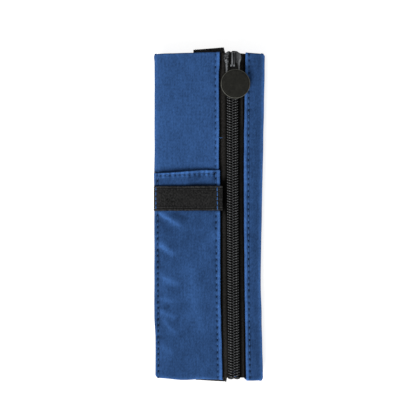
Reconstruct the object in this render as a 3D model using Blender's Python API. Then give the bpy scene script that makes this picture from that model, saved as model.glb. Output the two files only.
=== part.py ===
"""Slim zipped pen pouch on an elastic book band.

The pouch lies on its back with the zip running along Y and its front up. Outer panels and linings are
sewn sheets, the zip is a coil chain on two tapes, and the slider carries a round pull on a hinge.
Two elastics are sewn on: a wide band behind the back, and a narrow pen loop across the front pocket.
All sizes are in metres. The origin is the middle of the underside.
"""
import math

import bmesh
import bpy

# Clearances
layer_gap = 0.0003
metal_gap = 0.00015
running_gap = 0.0003
cutter_overrun = 0.001

# Outline of the sewn pouch seen from the front
top_reach = 0.0850
bottom_reach = 0.0856
left_reach = 0.0287
right_reach_top = 0.0290
right_reach_waist = 0.02675
right_reach_bottom = 0.02805
waist_below_middle = 0.034
waist_softness = 0.004
left_corner_setback = 0.0010
right_corner_setback = 0.0006

# Cross-section of the pouch: rounded sides and ends round a flat middle
side_margin = 0.0080
end_margin = 0.0100
side_drop = 0.0030
compartment_height = 0.0048
rounding_power = 2.2

# Thickness of each layer
outer_fabric = 0.0008
back_fabric = 0.0005
pocket_fabric = 0.0006
lining_fabric = 0.0002
tape_fabric = 0.0005
band_elastic = 0.0008
loop_elastic = 0.0008

# Zip opening between the front panels
zip_x_top = 0.0119
zip_x_bottom = 0.0127
left_gap_half_top = 0.0066
left_gap_half_bottom = 0.0066
right_gap_half_top = 0.0062
right_gap_half_bottom = 0.0058

# Coil chain
chain_half_width = 0.0032
coil_height = 0.0017
spine_width = 0.0019
tooth_pitch = 0.00138
tooth_width = 0.00042
tooth_overlap = 0.00045
core_width = 0.0005
core_wall_gap = 0.00025
tape_reach = 0.0115
tape_end_inset = 0.0004

# Slider
slider_length = 0.0118
slider_overhang = 0.0003
shoulder_half_width = 0.0046
tail_half_width = 0.0039
lower_plate_half_width = 0.0038
plate_thickness = 0.0007
lower_plate_thickness = 0.00065
wedge_half_width = 0.0010
wedge_length = 0.0030
wedge_from_nose = 0.0005
teeth_below_wedge = 0.0006

# Crown on the slider, with the lock spring inside it
crown_half_width = 0.0012
crown_length = 0.0074
crown_from_nose = 0.0008
crown_height = 0.00235
crown_wall = 0.00045
crown_leg = 0.0010
crown_front_leg = 0.0029
spring_thickness = 0.0002
spring_width = 0.0009
spring_pin_length = 0.0003

# Round pull
pull_diameter = 0.0152
pull_thickness = 0.0012
pull_rim = 0.0003
pull_bar_diameter = 0.0009
pull_arm_width = 0.00065
pull_eye_half_width = 0.00175
pull_reach = 0.0107
pull_yaw = math.radians(8)

# Front slip pocket
pocket_top = 0.0225
pocket_overlap = 0.0005
hem_width = 0.0030
hem_thickening = 0.0003
pocket_side_inset = 0.0003

# Pen loop across the pocket
loop_width = 0.0127
loop_below_hem = 0.0075
loop_left_overhang = 0.0004
loop_right_reach = 0.0066
loop_left_shoulder = 0.0095
loop_right_shoulder = 0.0073

# Book band behind the pouch
band_width = 0.0160
band_middle_x = 0.0002
band_lean = math.radians(0.43)
band_end_length = 0.0150
band_tab_depth = 0.0023
band_fold_reach_top = 0.0018
band_fold_reach_bottom = 0.0010

# Linings stop short of the end seams
lining_end_inset = 0.0040
lining_side_inset = 0.0018
lining_zip_inset = 0.0012

# Outer edge of the front panels, turned down to the back panel along the side seams
lip_width = 0.0002

# Heights, stacked up from the surface that the pouch lies on
back_underside = band_elastic + layer_gap
back_top_middle = back_underside + back_fabric
compartment_floor = back_top_middle + layer_gap + lining_fabric
compartment_roof = compartment_floor + compartment_height
tape_underside = compartment_roof + lining_fabric + layer_gap
tape_top = tape_underside + tape_fabric
front_underside = tape_top + layer_gap
coil_underside = front_underside
coil_top = coil_underside + coil_height
open_stack = front_underside - back_top_middle
under_tape = layer_gap + tape_fabric + layer_gap
end_stack = under_tape + band_elastic + layer_gap
side_stack = 3 * layer_gap + 2 * lining_fabric

# Slider heights
lower_plate_top = tape_underside - running_gap
lower_plate_underside = lower_plate_top - lower_plate_thickness
upper_plate_underside = coil_top + running_gap
upper_plate_top = upper_plate_underside + plate_thickness
flange_underside = tape_top + running_gap
channel_half_width = chain_half_width + running_gap / 2
pull_axis_height = upper_plate_top + 2 * layer_gap + pull_bar_diameter / 2

# Lean of the zip line across the pouch
zip_length = top_reach + bottom_reach
zip_middle_x = zip_x_top + (zip_x_bottom - zip_x_top) * top_reach / zip_length
zip_lean = math.atan((zip_x_bottom - zip_x_top) / zip_length)
nose_y = top_reach + slider_overhang
chain_top = top_reach - tape_end_inset
chain_bottom = -bottom_reach + tape_end_inset

# Outline shares, chosen by hand
shield_shares = ((0.0, 0.72), (0.04, 0.93), (0.10, 1.0), (0.52, 1.0))
shoulder_shares = ((0.70, 1.0), (0.86, 1.0), (0.95, 0.86), (1.0, 0.55))
nose_notch_share = 0.965
band_end_steps = 10
band_fold_steps = 6
wedge_shares = ((0.0, 0.35), (0.45, 1.0), (0.8, 0.8), (1.0, 0.4))


def clear_scene():
    """Remove everything that the file starts with."""
    for thing in list(bpy.data.objects):
        bpy.data.objects.remove(thing, do_unlink=True)


def material(name, colour, roughness, metallic):
    """One plain surface for one kind of piece."""
    made = bpy.data.materials.new(name)
    made.use_nodes = True
    surface = made.node_tree.nodes["Principled BSDF"]
    surface.inputs["Base Color"].default_value = (*colour, 1.0)
    surface.inputs["Roughness"].default_value = roughness
    surface.inputs["Metallic"].default_value = metallic
    return made


def add_object(name, bm, surface, parent=None):
    """Turn a bmesh into a named object with outward faces."""
    bmesh.ops.recalc_face_normals(bm, faces=bm.faces)
    mesh = bpy.data.meshes.new(name)
    bm.to_mesh(mesh)
    bm.free()
    made = bpy.data.objects.new(name, mesh)
    mesh.materials.append(surface)
    bpy.context.collection.objects.link(made)
    made.parent = parent
    return made


def add_empty(name, location, turn=0.0, parent=None):
    """A named place that pieces hang from, turned about Z."""
    made = bpy.data.objects.new(name, None)
    bpy.context.collection.objects.link(made)
    made.location = location
    made.rotation_euler = (0, 0, turn)
    made.parent = parent
    return made


def as_cutter(thing):
    """Mark a helper solid that only shapes another piece."""
    thing.hide_render = True
    thing.display_type = "WIRE"
    return thing


def combine(target, tool, operation):
    """Join a helper solid to a piece, or cut it out."""
    step = target.modifiers.new(operation.lower(), "BOOLEAN")
    step.operation = operation
    step.solver = "EXACT"
    step.object = as_cutter(tool)


def between(low, high, share):
    """The value at a share of the way from low to high."""
    return low + (high - low) * share


def zip_x(y):
    """Centre line of the zip at a height along the pouch."""
    return between(zip_x_bottom, zip_x_top, (y + bottom_reach) / zip_length)


def left_edge(y):
    """Left side seam of the pouch."""
    return -left_reach


def right_edge(y):
    """Right side seam, drawn in to a soft waist below the middle."""
    above = y + waist_below_middle
    swing = math.sqrt(above * above + waist_softness * waist_softness) - waist_softness
    if above > 0:
        slope = (right_reach_top - right_reach_waist) / (top_reach + waist_below_middle)
    else:
        slope = (right_reach_bottom - right_reach_waist) / (bottom_reach - waist_below_middle)
    return right_reach_waist + slope * swing


def corner_setback(x):
    """How far an end seam falls back from the zip towards a corner."""
    if x < zip_middle_x:
        share = min(1.0, (zip_middle_x - x) / (zip_middle_x + left_reach))
        return left_corner_setback * share
    share = min(1.0, (x - zip_middle_x) / (right_reach_top - zip_middle_x))
    return right_corner_setback * share


def top_edge(x):
    """Top end seam."""
    return top_reach - corner_setback(x)


def bottom_edge(x):
    """Bottom end seam."""
    return -bottom_reach + corner_setback(x)


def rounding(distance, margin):
    """Rises from 0 at a seam to 1 where the flat middle starts."""
    share = min(1.0, max(0.0, distance / margin))
    return 1 - (1 - share) ** rounding_power


def side_rounding(x, y):
    """Rounding across the pouch, from the nearer side seam."""
    return rounding(min(x - left_edge(y), right_edge(y) - x), side_margin)


def end_rounding(x, y):
    """Rounding along the pouch, from the nearer end seam."""
    return rounding(min(top_edge(x) - y, y - bottom_edge(x)), end_margin)


def front_base(x, y):
    """Underside of the front panels: flat along the zip, falling to the side seams."""
    return front_underside - side_drop * (1 - side_rounding(x, y))


def front_face(x, y):
    """Upper face of the front panels."""
    return front_base(x, y) + outer_fabric


def back_top(x, y):
    """Upper face of the back panel, which rises to the front along every seam."""
    closed = between(side_stack, end_stack, side_rounding(x, y))
    opening = side_rounding(x, y) * end_rounding(x, y)
    return front_base(x, y) - between(closed, open_stack, opening)


def seam_lip(x, y):
    """Underside of a front panel whose outermost edge is turned down to the back panel."""
    if min(x - left_edge(y), right_edge(y) - x) < lip_width:
        return back_top(x, y) + layer_gap
    return front_base(x, y)


def front_lining_base(x, y):
    """Underside of the front linings: under the tapes, and tucked up to the panel at the side seams."""
    tuck = rounding(min(x - left_edge(y), right_edge(y) - x), side_margin / 2)
    return front_base(x, y) - between(layer_gap, under_tape, tuck) - lining_fabric


def spread(share, cells, margin_low, margin_high, low_cells, high_cells):
    """Place grid lines evenly inside each margin and evenly between them."""
    line = share * cells
    if line <= low_cells and low_cells:
        return margin_low * line / low_cells
    if line >= cells - high_cells and high_cells:
        return 1 - margin_high * (cells - line) / high_cells
    middle = (line - low_cells) / (cells - low_cells - high_cells)
    return between(margin_low, 1 - margin_high, middle)


def sheet(name, surface, sides, ends, base, top, columns, rows):
    """A closed cloth sheet between two side lines and two end lines.

    sides and ends are pairs of functions, base and top give the heights of its two faces at a place,
    and columns and rows are (cells, cells in the low margin, cells in the high margin).
    """
    bm = bmesh.new()
    bmesh.ops.create_grid(bm, x_segments=columns[0], y_segments=rows[0], size=0.5)
    low_x, high_x = sides[0](0), sides[1](0)
    for vert in bm.verts:
        share_x, share_y = vert.co.x + 0.5, vert.co.y + 0.5
        edge_share = min(side_margin / (high_x - low_x), 1 - 1 / columns[0])
        across = spread(
            share_x,
            columns[0],
            edge_share if columns[1] else 0.0,
            edge_share if columns[2] else 0.0,
            columns[1],
            columns[2],
        )
        x = between(low_x, high_x, across)
        low_y, high_y = ends[0](x), ends[1](x)
        end_share = end_margin / (high_y - low_y)
        along = spread(
            share_y,
            rows[0],
            end_share if rows[1] else 0.0,
            end_share if rows[2] else 0.0,
            rows[1],
            rows[2],
        )
        y = between(low_y, high_y, along)
        x = between(sides[0](y), sides[1](y), across)
        vert.co = (x, y, base(x, y))
    bmesh.ops.triangulate(bm, faces=bm.faces[:], quad_method="FIXED")
    grown = bmesh.ops.extrude_face_region(bm, geom=bm.faces[:])
    for vert in grown["geom"]:
        if isinstance(vert, bmesh.types.BMVert):
            vert.co.z = top(vert.co.x, vert.co.y)
    made = add_object(name, bm, surface)
    made.data.shade_smooth()
    made.data.set_sharp_from_angle(angle=math.radians(40))
    return made


def prism(name, surface, outline, plane, low, high, parent=None):
    """Extrude a flat outline from low to high, square to its plane (XY, YZ or XZ)."""
    place = {
        "XY": lambda a, b, c: (a, b, c),
        "YZ": lambda a, b, c: (c, a, b),
        "XZ": lambda a, b, c: (a, c, b),
    }[plane]
    bm = bmesh.new()
    face = bm.faces.new([bm.verts.new(place(a, b, low)) for a, b in outline])
    grown = bmesh.ops.extrude_face_region(bm, geom=[face])
    moved = [v for v in grown["geom"] if isinstance(v, bmesh.types.BMVert)]
    bmesh.ops.translate(bm, vec=place(0, 0, high - low), verts=moved)
    return add_object(name, bm, surface, parent)


def ribbon_outline(path, half_thickness):
    """The outline of a strip that follows a path, worked out from the path's normals."""
    upper, lower = [], []
    for index, (a, b) in enumerate(path):
        before = path[max(0, index - 1)]
        after = path[min(len(path) - 1, index + 1)]
        run_a, run_b = after[0] - before[0], after[1] - before[1]
        size = math.hypot(run_a, run_b)
        shift_a, shift_b = -run_b / size * half_thickness, run_a / size * half_thickness
        upper.append((a + shift_a, b + shift_b))
        lower.append((a - shift_a, b - shift_b))
    return upper + lower[::-1]


def coil(name, surface, side, parent):
    """One side of the chain: a spine with teeth that reach past the centre line.

    side is -1 on the left and 1 on the right, whose teeth stand half a pitch further along.
    """
    outer, inner = chain_half_width, chain_half_width - spine_width
    outline = [(side * outer, chain_bottom), (side * outer, chain_top), (side * inner, chain_top)]
    first = chain_bottom + tooth_pitch * (0.5 if side < 0 else 1.0)
    last = nose_y - wedge_from_nose - wedge_length - teeth_below_wedge
    count = int((last - first - tooth_width) / tooth_pitch)
    for tooth in reversed(range(count)):
        start = first + tooth * tooth_pitch
        outline += [
            (side * inner, start + tooth_width),
            (-side * tooth_overlap, start + tooth_width),
            (-side * tooth_overlap, start),
            (side * inner, start),
        ]
    outline.append((side * inner, chain_bottom))
    made = prism(name, surface, outline, "XY", coil_underside, coil_top, parent)
    middle = side * (outer + inner) / 2
    level = (coil_underside + coil_top) / 2
    bore = core_width / 2 + core_wall_gap
    cutter = prism(
        name + "_bore_cutter",
        surface,
        square(middle, level, bore),
        "XZ",
        chain_bottom - cutter_overrun,
        chain_top + cutter_overrun,
        parent,
    )
    combine(made, cutter, "DIFFERENCE")
    return made


def square(a, b, half):
    """A square outline about a centre."""
    return [(a - half, b - half), (a + half, b - half), (a + half, b + half), (a - half, b + half)]


def core(name, surface, side, parent):
    """The filler cord that runs inside one coil."""
    middle = side * (chain_half_width - spine_width / 2)
    level = (coil_underside + coil_top) / 2
    half = core_width / 2
    outline = [
        (middle + half * math.cos(turn), level + half * math.sin(turn))
        for turn in (math.tau * step / 6 for step in range(6))
    ]
    return prism(name, surface, outline, "XZ", chain_bottom, chain_top, parent)


def shield(length, tail_half, shoulder_half):
    """Slider plate outline: narrow tail at y = 0, wide shoulders, and a shallow notch in the nose."""
    right = [(tail_half * wide, length * along) for along, wide in shield_shares]
    right += [(shoulder_half * wide, length * along) for along, wide in shoulder_shares]
    left = [(-x, y) for x, y in reversed(right)]
    return right + [(0, length * nose_notch_share)] + left


def build_slider(surface, parent):
    """Slider body: an upper block over the coils, a wedge at the nose, and a lower plate."""
    upper = shield(slider_length, tail_half_width, shoulder_half_width)
    body = prism(
        "slider_body", surface, upper, "XY", flange_underside, upper_plate_top, parent
    )
    channel = [
        (-channel_half_width, -cutter_overrun),
        (channel_half_width, -cutter_overrun),
        (channel_half_width, slider_length + cutter_overrun),
        (-channel_half_width, slider_length + cutter_overrun),
    ]
    cutter = prism(
        "slider_channel_cutter",
        surface,
        channel,
        "XY",
        flange_underside - cutter_overrun,
        upper_plate_underside,
        parent,
    )
    combine(body, cutter, "DIFFERENCE")
    wedge_start = slider_length - wedge_from_nose - wedge_length
    right = [
        (wedge_half_width * wide, wedge_start + wedge_length * along) for along, wide in wedge_shares
    ]
    outline = right + [(-x, y) for x, y in reversed(right)]
    wedge = prism(
        "slider_wedge_shape",
        surface,
        outline,
        "XY",
        lower_plate_top - lower_plate_thickness / 2,
        upper_plate_underside + plate_thickness / 2,
        parent,
    )
    combine(body, wedge, "UNION")
    lower = shield(
        slider_length - slider_overhang,
        lower_plate_half_width * tail_half_width / shoulder_half_width,
        lower_plate_half_width,
    )
    plate = prism(
        "slider_lower_plate_shape",
        surface,
        lower,
        "XY",
        lower_plate_underside,
        lower_plate_top,
        parent,
    )
    combine(body, plate, "UNION")
    pin_y = crown_rear() + crown_wall + metal_gap + spring_thickness / 2
    hole_half = spring_width / 2 + metal_gap
    hole = [
        (-hole_half, pin_y - spring_thickness),
        (hole_half, pin_y - spring_thickness),
        (hole_half, pin_y + spring_thickness),
        (-hole_half, pin_y + spring_thickness),
    ]
    pin_hole = prism(
        "slider_pin_hole_cutter",
        surface,
        hole,
        "XY",
        upper_plate_underside - cutter_overrun / 4,
        upper_plate_top + cutter_overrun,
        parent,
    )
    combine(body, pin_hole, "DIFFERENCE")
    return body


def crown_rear():
    """Rear end of the crown, from the slider's tail."""
    return slider_length - crown_from_nose - crown_length


def build_crown(surface, parent):
    """Crown: two legs and a roof over the pull's bar, hollow inside for the lock spring."""
    rear, front = crown_rear(), slider_length - crown_from_nose
    foot = upper_plate_top + metal_gap
    top = foot + crown_height
    window_top = pull_axis_height + pull_bar_diameter / 2 + metal_gap
    slope = crown_height / 3
    outline = [
        (rear, foot),
        (rear + crown_leg, foot),
        (rear + crown_leg, window_top),
        (front - crown_front_leg, window_top),
        (front - crown_front_leg, foot),
        (front, foot),
        (front, top - 2 * slope),
        (front - slope, top - slope / 2),
        (front - 2 * slope, top),
        (rear + slope / 2, top),
        (rear, top - slope / 2),
    ]
    crown = prism(
        "slider_crown", surface, outline, "YZ", -crown_half_width, crown_half_width, parent
    )
    hollow = [
        (rear + crown_wall, foot - cutter_overrun),
        (front - 2 * crown_wall, foot - cutter_overrun),
        (front - 2 * crown_wall, top - crown_wall),
        (rear + crown_wall, top - crown_wall),
    ]
    inner = crown_half_width - crown_wall
    cutter = prism("crown_hollow_cutter", surface, hollow, "YZ", -inner, inner, parent)
    combine(crown, cutter, "DIFFERENCE")
    return crown


def build_spring(surface, parent):
    """Lock spring: a foot at the front, a blade under the crown's roof, and a pin at the rear."""
    foot = upper_plate_top + metal_gap
    blade_top = foot + crown_height - crown_wall - metal_gap
    blade_low = blade_top - spring_thickness
    rear = crown_rear() + crown_wall + metal_gap
    front = slider_length - crown_from_nose - 2 * crown_wall - metal_gap
    outline = [
        (rear, upper_plate_top - spring_pin_length),
        (rear + spring_thickness, upper_plate_top - spring_pin_length),
        (rear + spring_thickness, blade_low),
        (front - spring_thickness, blade_low),
        (front - spring_thickness, foot),
        (front, foot),
        (front, blade_top),
        (rear, blade_top),
    ]
    return prism(
        "slider_lock_spring", surface, outline, "YZ", -spring_width / 2, spring_width / 2, parent
    )


def build_pull(surface, parent):
    """Round pull: a disc, two arms and the bar that turns under the crown, about the parent's X axis."""
    bm = bmesh.new()
    radius = pull_diameter / 2
    rings = [
        (radius - pull_rim, -pull_thickness / 2),
        (radius, -pull_thickness / 2 + pull_rim),
        (radius, pull_thickness / 2 - pull_rim),
        (radius - pull_rim, pull_thickness / 2),
    ]
    rims = []
    for ring_radius, height in rings:
        made = bmesh.ops.create_circle(bm, segments=40, radius=ring_radius, cap_ends=False)
        bmesh.ops.translate(bm, vec=(0, -pull_reach, height), verts=made["verts"])
        rims.append(list({edge for vert in made["verts"] for edge in vert.link_edges}))
    for low, high in zip(rims, rims[1:]):
        bmesh.ops.bridge_loops(bm, edges=low + high)
    bmesh.ops.contextual_create(bm, geom=rims[0])
    bmesh.ops.contextual_create(bm, geom=rims[-1])
    disc = add_object("pull_disc", bm, surface, parent)
    disc.data.shade_smooth()
    disc.data.set_sharp_from_angle(angle=math.radians(35))
    outer = pull_eye_half_width + pull_arm_width
    bar_radius = pull_bar_diameter / 2
    arm_end = -(pull_reach - radius + pull_rim + pull_arm_width)
    for side in (-1, 1):
        arm = [
            (side * pull_eye_half_width, arm_end),
            (side * outer, arm_end),
            (side * outer, 0),
            (side * pull_eye_half_width, 0),
        ]
        shape = prism(
            f"pull_arm_shape_{side + 1}", surface, arm, "XY", -bar_radius, bar_radius, parent
        )
        combine(disc, shape, "UNION")
    round_bar = [
        (bar_radius * math.cos(turn), bar_radius * math.sin(turn))
        for turn in (math.tau * step / 12 for step in range(12))
    ]
    bar = prism("pull_bar_shape", surface, round_bar, "YZ", -outer, outer, parent)
    combine(disc, bar, "UNION")
    return disc


def raised(base, thickness):
    """The upper face of a sheet that is equally thick all over."""
    return lambda x, y: base(x, y) + thickness


def left_gap(y):
    """Edge of the front left panel at the zip."""
    return zip_x(y) - between(left_gap_half_bottom, left_gap_half_top, (y + bottom_reach) / zip_length)


def right_gap(y):
    """Edge of the front right panel at the zip."""
    return zip_x(y) + between(right_gap_half_bottom, right_gap_half_top, (y + bottom_reach) / zip_length)


def build_outer_panels(cloth):
    """Back panel and the two front panels beside the zip."""
    ends = (bottom_edge, top_edge)
    sheet(
        "back_panel",
        cloth,
        (left_edge, right_edge),
        ends,
        raised(back_top, -back_fabric),
        back_top,
        (11, 4, 4),
        (14, 5, 5),
    )
    sheet(
        "front_left_panel",
        cloth,
        (left_edge, left_gap),
        ends,
        seam_lip,
        front_face,
        (7, 5, 0),
        (14, 5, 5),
    )
    sheet(
        "front_right_panel",
        cloth,
        (right_gap, right_edge),
        ends,
        seam_lip,
        front_face,
        (6, 0, 5),
        (14, 5, 5),
    )


def build_linings(lining):
    """One lining sheet behind each outer panel, stopping short of the seams and of the zip."""
    ends = (
        lambda x: bottom_edge(x) + lining_end_inset,
        lambda x: top_edge(x) - lining_end_inset,
    )
    left = lambda y: left_edge(y) + lining_side_inset
    right = lambda y: right_edge(y) - lining_side_inset
    back_base = raised(back_top, layer_gap)
    sheet(
        "back_lining",
        lining,
        (left, right),
        ends,
        back_base,
        raised(back_base, lining_fabric),
        (11, 4, 4),
        (14, 5, 5),
    )
    front_top_face = raised(front_lining_base, lining_fabric)
    sheet(
        "front_left_lining",
        lining,
        (left, lambda y: left_gap(y) - lining_zip_inset),
        ends,
        front_lining_base,
        front_top_face,
        (7, 5, 0),
        (4, 0, 0),
    )
    sheet(
        "front_right_lining",
        lining,
        (lambda y: right_gap(y) + lining_zip_inset, right),
        ends,
        front_lining_base,
        front_top_face,
        (6, 0, 5),
        (12, 0, 0),
    )


def pocket_base(x, y):
    """Underside of the slip pocket, just over the front left panel."""
    return front_face(x, y) + layer_gap


def pocket_face(x, y):
    """Upper face of the slip pocket, thicker along its folded hem."""
    hemmed = y > pocket_top - hem_width
    return pocket_base(x, y) + pocket_fabric + (hem_thickening if hemmed else 0)


def build_pocket(cloth):
    """Slip pocket over the lower part of the front left panel."""
    sheet(
        "slip_pocket",
        cloth,
        (lambda y: left_edge(y) + pocket_side_inset, lambda y: left_gap(y) + pocket_overlap),
        (bottom_edge, lambda x: pocket_top),
        pocket_base,
        pocket_face,
        (7, 5, 0),
        (24, 0, 0),
    )


def build_tapes(cotton):
    """Two zip tapes, each lying between a front panel and its lining."""
    inner = chain_half_width - spine_width
    ends = (lambda x: chain_bottom, lambda x: chain_top)
    top = raised(front_base, -layer_gap)
    base = raised(top, -tape_fabric)
    sheet(
        "zip_tape_left",
        cotton,
        (lambda y: zip_x(y) - tape_reach, lambda y: zip_x(y) - inner),
        ends,
        base,
        top,
        (2, 0, 0),
        (4, 0, 0),
    )
    sheet(
        "zip_tape_right",
        cotton,
        (lambda y: zip_x(y) + inner, lambda y: zip_x(y) + tape_reach),
        ends,
        base,
        top,
        (6, 0, 0),
        (12, 0, 0),
    )


def build_chain(nylon, cord, zip_line):
    """Both coils and the cords inside them."""
    for side, word in ((-1, "left"), (1, "right")):
        coil(f"zip_coil_{word}", nylon, side, zip_line)
        core(f"coil_core_{word}", cord, side, zip_line)


def loop_level(x):
    """Middle of the pen loop's elastic, just over the pocket."""
    return front_base(x, 0) + outer_fabric + layer_gap + pocket_fabric + layer_gap + loop_elastic / 2


def build_pen_loop(elastic):
    """Pen loop: a middle span that lifts, and an end at each side that is sewn down."""
    left = -left_reach - loop_left_overhang
    span_left = left + loop_left_shoulder
    span_right = loop_right_reach - loop_right_shoulder
    high = pocket_top - loop_below_hem
    low = high - loop_width
    pieces = (
        ("pen_loop_left_end", left, span_left - layer_gap / 2, 8),
        ("pen_loop_span", span_left + layer_gap / 2, span_right - layer_gap / 2, 4),
        ("pen_loop_right_end", span_right + layer_gap / 2, loop_right_reach, 4),
    )
    for name, start, end, steps in pieces:
        path = [
            (x, loop_level(x)) for x in (between(start, end, step / steps) for step in range(steps + 1))
        ]
        prism(name, elastic, ribbon_outline(path, loop_elastic / 2), "XZ", low, high)


def band_end_path(reach, fold_reach, side):
    """Middle line of one band end: along the back, round the end seam and in to its tab.

    reach is the end seam's distance from the middle, fold_reach how far the fold stands out beyond it,
    and side is 1 at the top and -1 at the bottom.
    """
    half = band_elastic / 2
    seam_low = front_underside - end_stack - back_fabric - layer_gap - half
    tab_level = front_underside - under_tape - half
    radius = (tab_level - seam_low) / 2
    centre = reach + fold_reach - radius - half
    start = reach - band_end_length + layer_gap
    last = reach - corner_setback(band_middle_x)
    path = []
    for step in range(band_end_steps + 1):
        y = between(start, centre, step / band_end_steps)
        lift = back_top(0, side * min(y, last)) - back_fabric
        path.append((side * y, lift - layer_gap - half))
    for turn in range(1, band_fold_steps + 1):
        angle = math.pi * (turn / band_fold_steps - 0.5)
        y = centre + radius * math.cos(angle)
        path.append((side * y, seam_low + radius + radius * math.sin(angle)))
    path.append((side * (reach - band_tab_depth), tab_level))
    return path


def build_book_band(elastic):
    """Book band: a flat span behind the pouch, and an end at each seam."""
    line = add_empty("band_line", (band_middle_x, 0, 0), band_lean)
    half = band_width / 2
    span = [
        (-half, -bottom_reach + band_end_length),
        (half, -bottom_reach + band_end_length),
        (half, top_reach - band_end_length),
        (-half, top_reach - band_end_length),
    ]
    prism("book_band_span", elastic, span, "XY", 0, band_elastic, line)
    for name, reach, fold_reach, side in (
        ("book_band_top_end", top_reach, band_fold_reach_top, 1),
        ("book_band_bottom_end", bottom_reach, band_fold_reach_bottom, -1),
    ):
        outline = ribbon_outline(band_end_path(reach, fold_reach, side), band_elastic / 2)
        prism(name, elastic, outline, "YZ", -half, half, line)


def main():
    """Build every piece of the pouch."""
    clear_scene()
    cloth = material("navy_cotton_twill", (0.033, 0.083, 0.220), 0.85, 0.0)
    lining = material("black_lining_cloth", (0.018, 0.018, 0.020), 0.80, 0.0)
    cotton = material("black_zip_tape", (0.008, 0.008, 0.007), 0.90, 0.0)
    nylon = material("black_nylon_coil", (0.020, 0.020, 0.021), 0.45, 0.0)
    cord = material("black_filler_cord", (0.012, 0.012, 0.012), 0.90, 0.0)
    elastic = material("black_woven_elastic", (0.020, 0.021, 0.021), 0.80, 0.0)
    zinc = material("black_lacquered_zinc", (0.030, 0.031, 0.032), 0.35, 0.6)
    steel = material("spring_steel", (0.450, 0.450, 0.460), 0.30, 1.0)
    lacquer = material("matte_black_lacquer", (0.018, 0.018, 0.016), 0.55, 0.3)

    build_outer_panels(cloth)
    build_linings(lining)
    build_pocket(cloth)
    build_tapes(cotton)
    zip_line = add_empty("zip_line", (zip_middle_x, 0, 0), zip_lean)
    build_chain(nylon, cord, zip_line)
    carrier = add_empty("slider_place", (0, nose_y - slider_length, 0), 0.0, zip_line)
    build_slider(zinc, carrier)
    build_crown(zinc, carrier)
    build_spring(steel, carrier)
    pivot_y = crown_rear() + crown_leg + metal_gap + pull_bar_diameter / 2
    pivot = add_empty("pull_pivot", (0, pivot_y, pull_axis_height), pull_yaw, carrier)
    build_pull(lacquer, pivot)
    build_pen_loop(elastic)
    build_book_band(elastic)


main()
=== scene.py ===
"""Looks of a slim zipped pen pouch on an elastic book band.

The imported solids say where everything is. Each sub-assembly is a class that holds its own sizes, builds
its meshes and dresses them in the finishes. Its sizes are in millimetres, and angles are in degrees.
Finishes and the studio are in metres, as the frame is.
"""

import logging
from collections.abc import Callable, Iterable, Sequence
from dataclasses import dataclass, field
from enum import Enum
from math import atan, copysign, cos, degrees, exp, floor, hypot, inf, pi, radians, sin, sqrt, tan, tau

import bmesh
import bpy
from bmesh.types import BMEdge, BMesh, BMFace, BMVert
from bpy.types import Material, Node, NodeSocket, NodeTree, Object
from mathutils import Matrix, Vector, noise
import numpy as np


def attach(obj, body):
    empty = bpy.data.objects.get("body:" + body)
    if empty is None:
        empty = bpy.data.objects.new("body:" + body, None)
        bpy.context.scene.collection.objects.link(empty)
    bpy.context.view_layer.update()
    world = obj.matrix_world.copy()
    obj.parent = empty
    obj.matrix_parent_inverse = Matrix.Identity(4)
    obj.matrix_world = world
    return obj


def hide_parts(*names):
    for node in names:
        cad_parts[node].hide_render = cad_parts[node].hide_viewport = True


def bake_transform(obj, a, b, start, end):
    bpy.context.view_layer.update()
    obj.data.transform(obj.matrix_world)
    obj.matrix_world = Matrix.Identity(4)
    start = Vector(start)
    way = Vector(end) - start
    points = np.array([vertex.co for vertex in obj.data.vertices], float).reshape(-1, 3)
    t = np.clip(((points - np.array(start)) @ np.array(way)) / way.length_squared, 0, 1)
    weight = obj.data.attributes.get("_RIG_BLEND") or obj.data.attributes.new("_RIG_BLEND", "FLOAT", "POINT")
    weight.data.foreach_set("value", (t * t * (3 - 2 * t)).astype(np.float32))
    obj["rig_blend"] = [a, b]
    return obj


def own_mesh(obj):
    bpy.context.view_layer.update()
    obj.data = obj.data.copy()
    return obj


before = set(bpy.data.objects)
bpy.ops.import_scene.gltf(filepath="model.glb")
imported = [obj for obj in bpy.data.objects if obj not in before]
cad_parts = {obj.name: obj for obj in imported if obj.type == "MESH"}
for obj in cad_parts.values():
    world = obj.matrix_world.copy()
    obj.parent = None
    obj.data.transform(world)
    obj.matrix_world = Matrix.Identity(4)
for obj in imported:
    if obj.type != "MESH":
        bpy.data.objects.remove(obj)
log = logging.getLogger("pen_pouch")

MM = 0.001
CLOTH_MAP = "cloth"
# Vertex tone: random unevenness and wear, together with painted highlights and painted shade.
TONE = "tone"

Point = tuple[float, float]
Place = tuple[float, float, float]
Measured = list[tuple[Vector, float]]
Level = Callable[[float, float], float]
Edge = Callable[[float], float]


class Body(Enum):
    """The moving bodies of the pouch."""

    POUCH = "pouch"
    SLIDER = "slider"
    PULL = "pull"
    PEN_LOOP = "pen_loop"
    BOOK_BAND = "book_band"


class Side(Enum):
    """Which side of the zip a piece lies on."""

    LEFT = -1
    RIGHT = 1

    @property
    def word(self) -> str:
        """The side's name in piece names."""
        return self.name.lower()


# Finishes


def to_linear(hex_colour: str) -> tuple[float, float, float, float]:
    """Turn an sRGB hex colour into the linear colour that the nodes take.

    Args:
        hex_colour: Six hex digits after a #.

    Returns:
        Red, green, blue and alpha, from 0 to 1.
    """
    parts = [int(hex_colour[place:place + 2], 16) / 255 for place in (1, 3, 5)]
    red, green, blue = (
        part / 12.92 if part <= 0.04045 else ((part + 0.055) / 1.055) ** 2.4 for part in parts
    )
    return red, green, blue, 1.0


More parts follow.
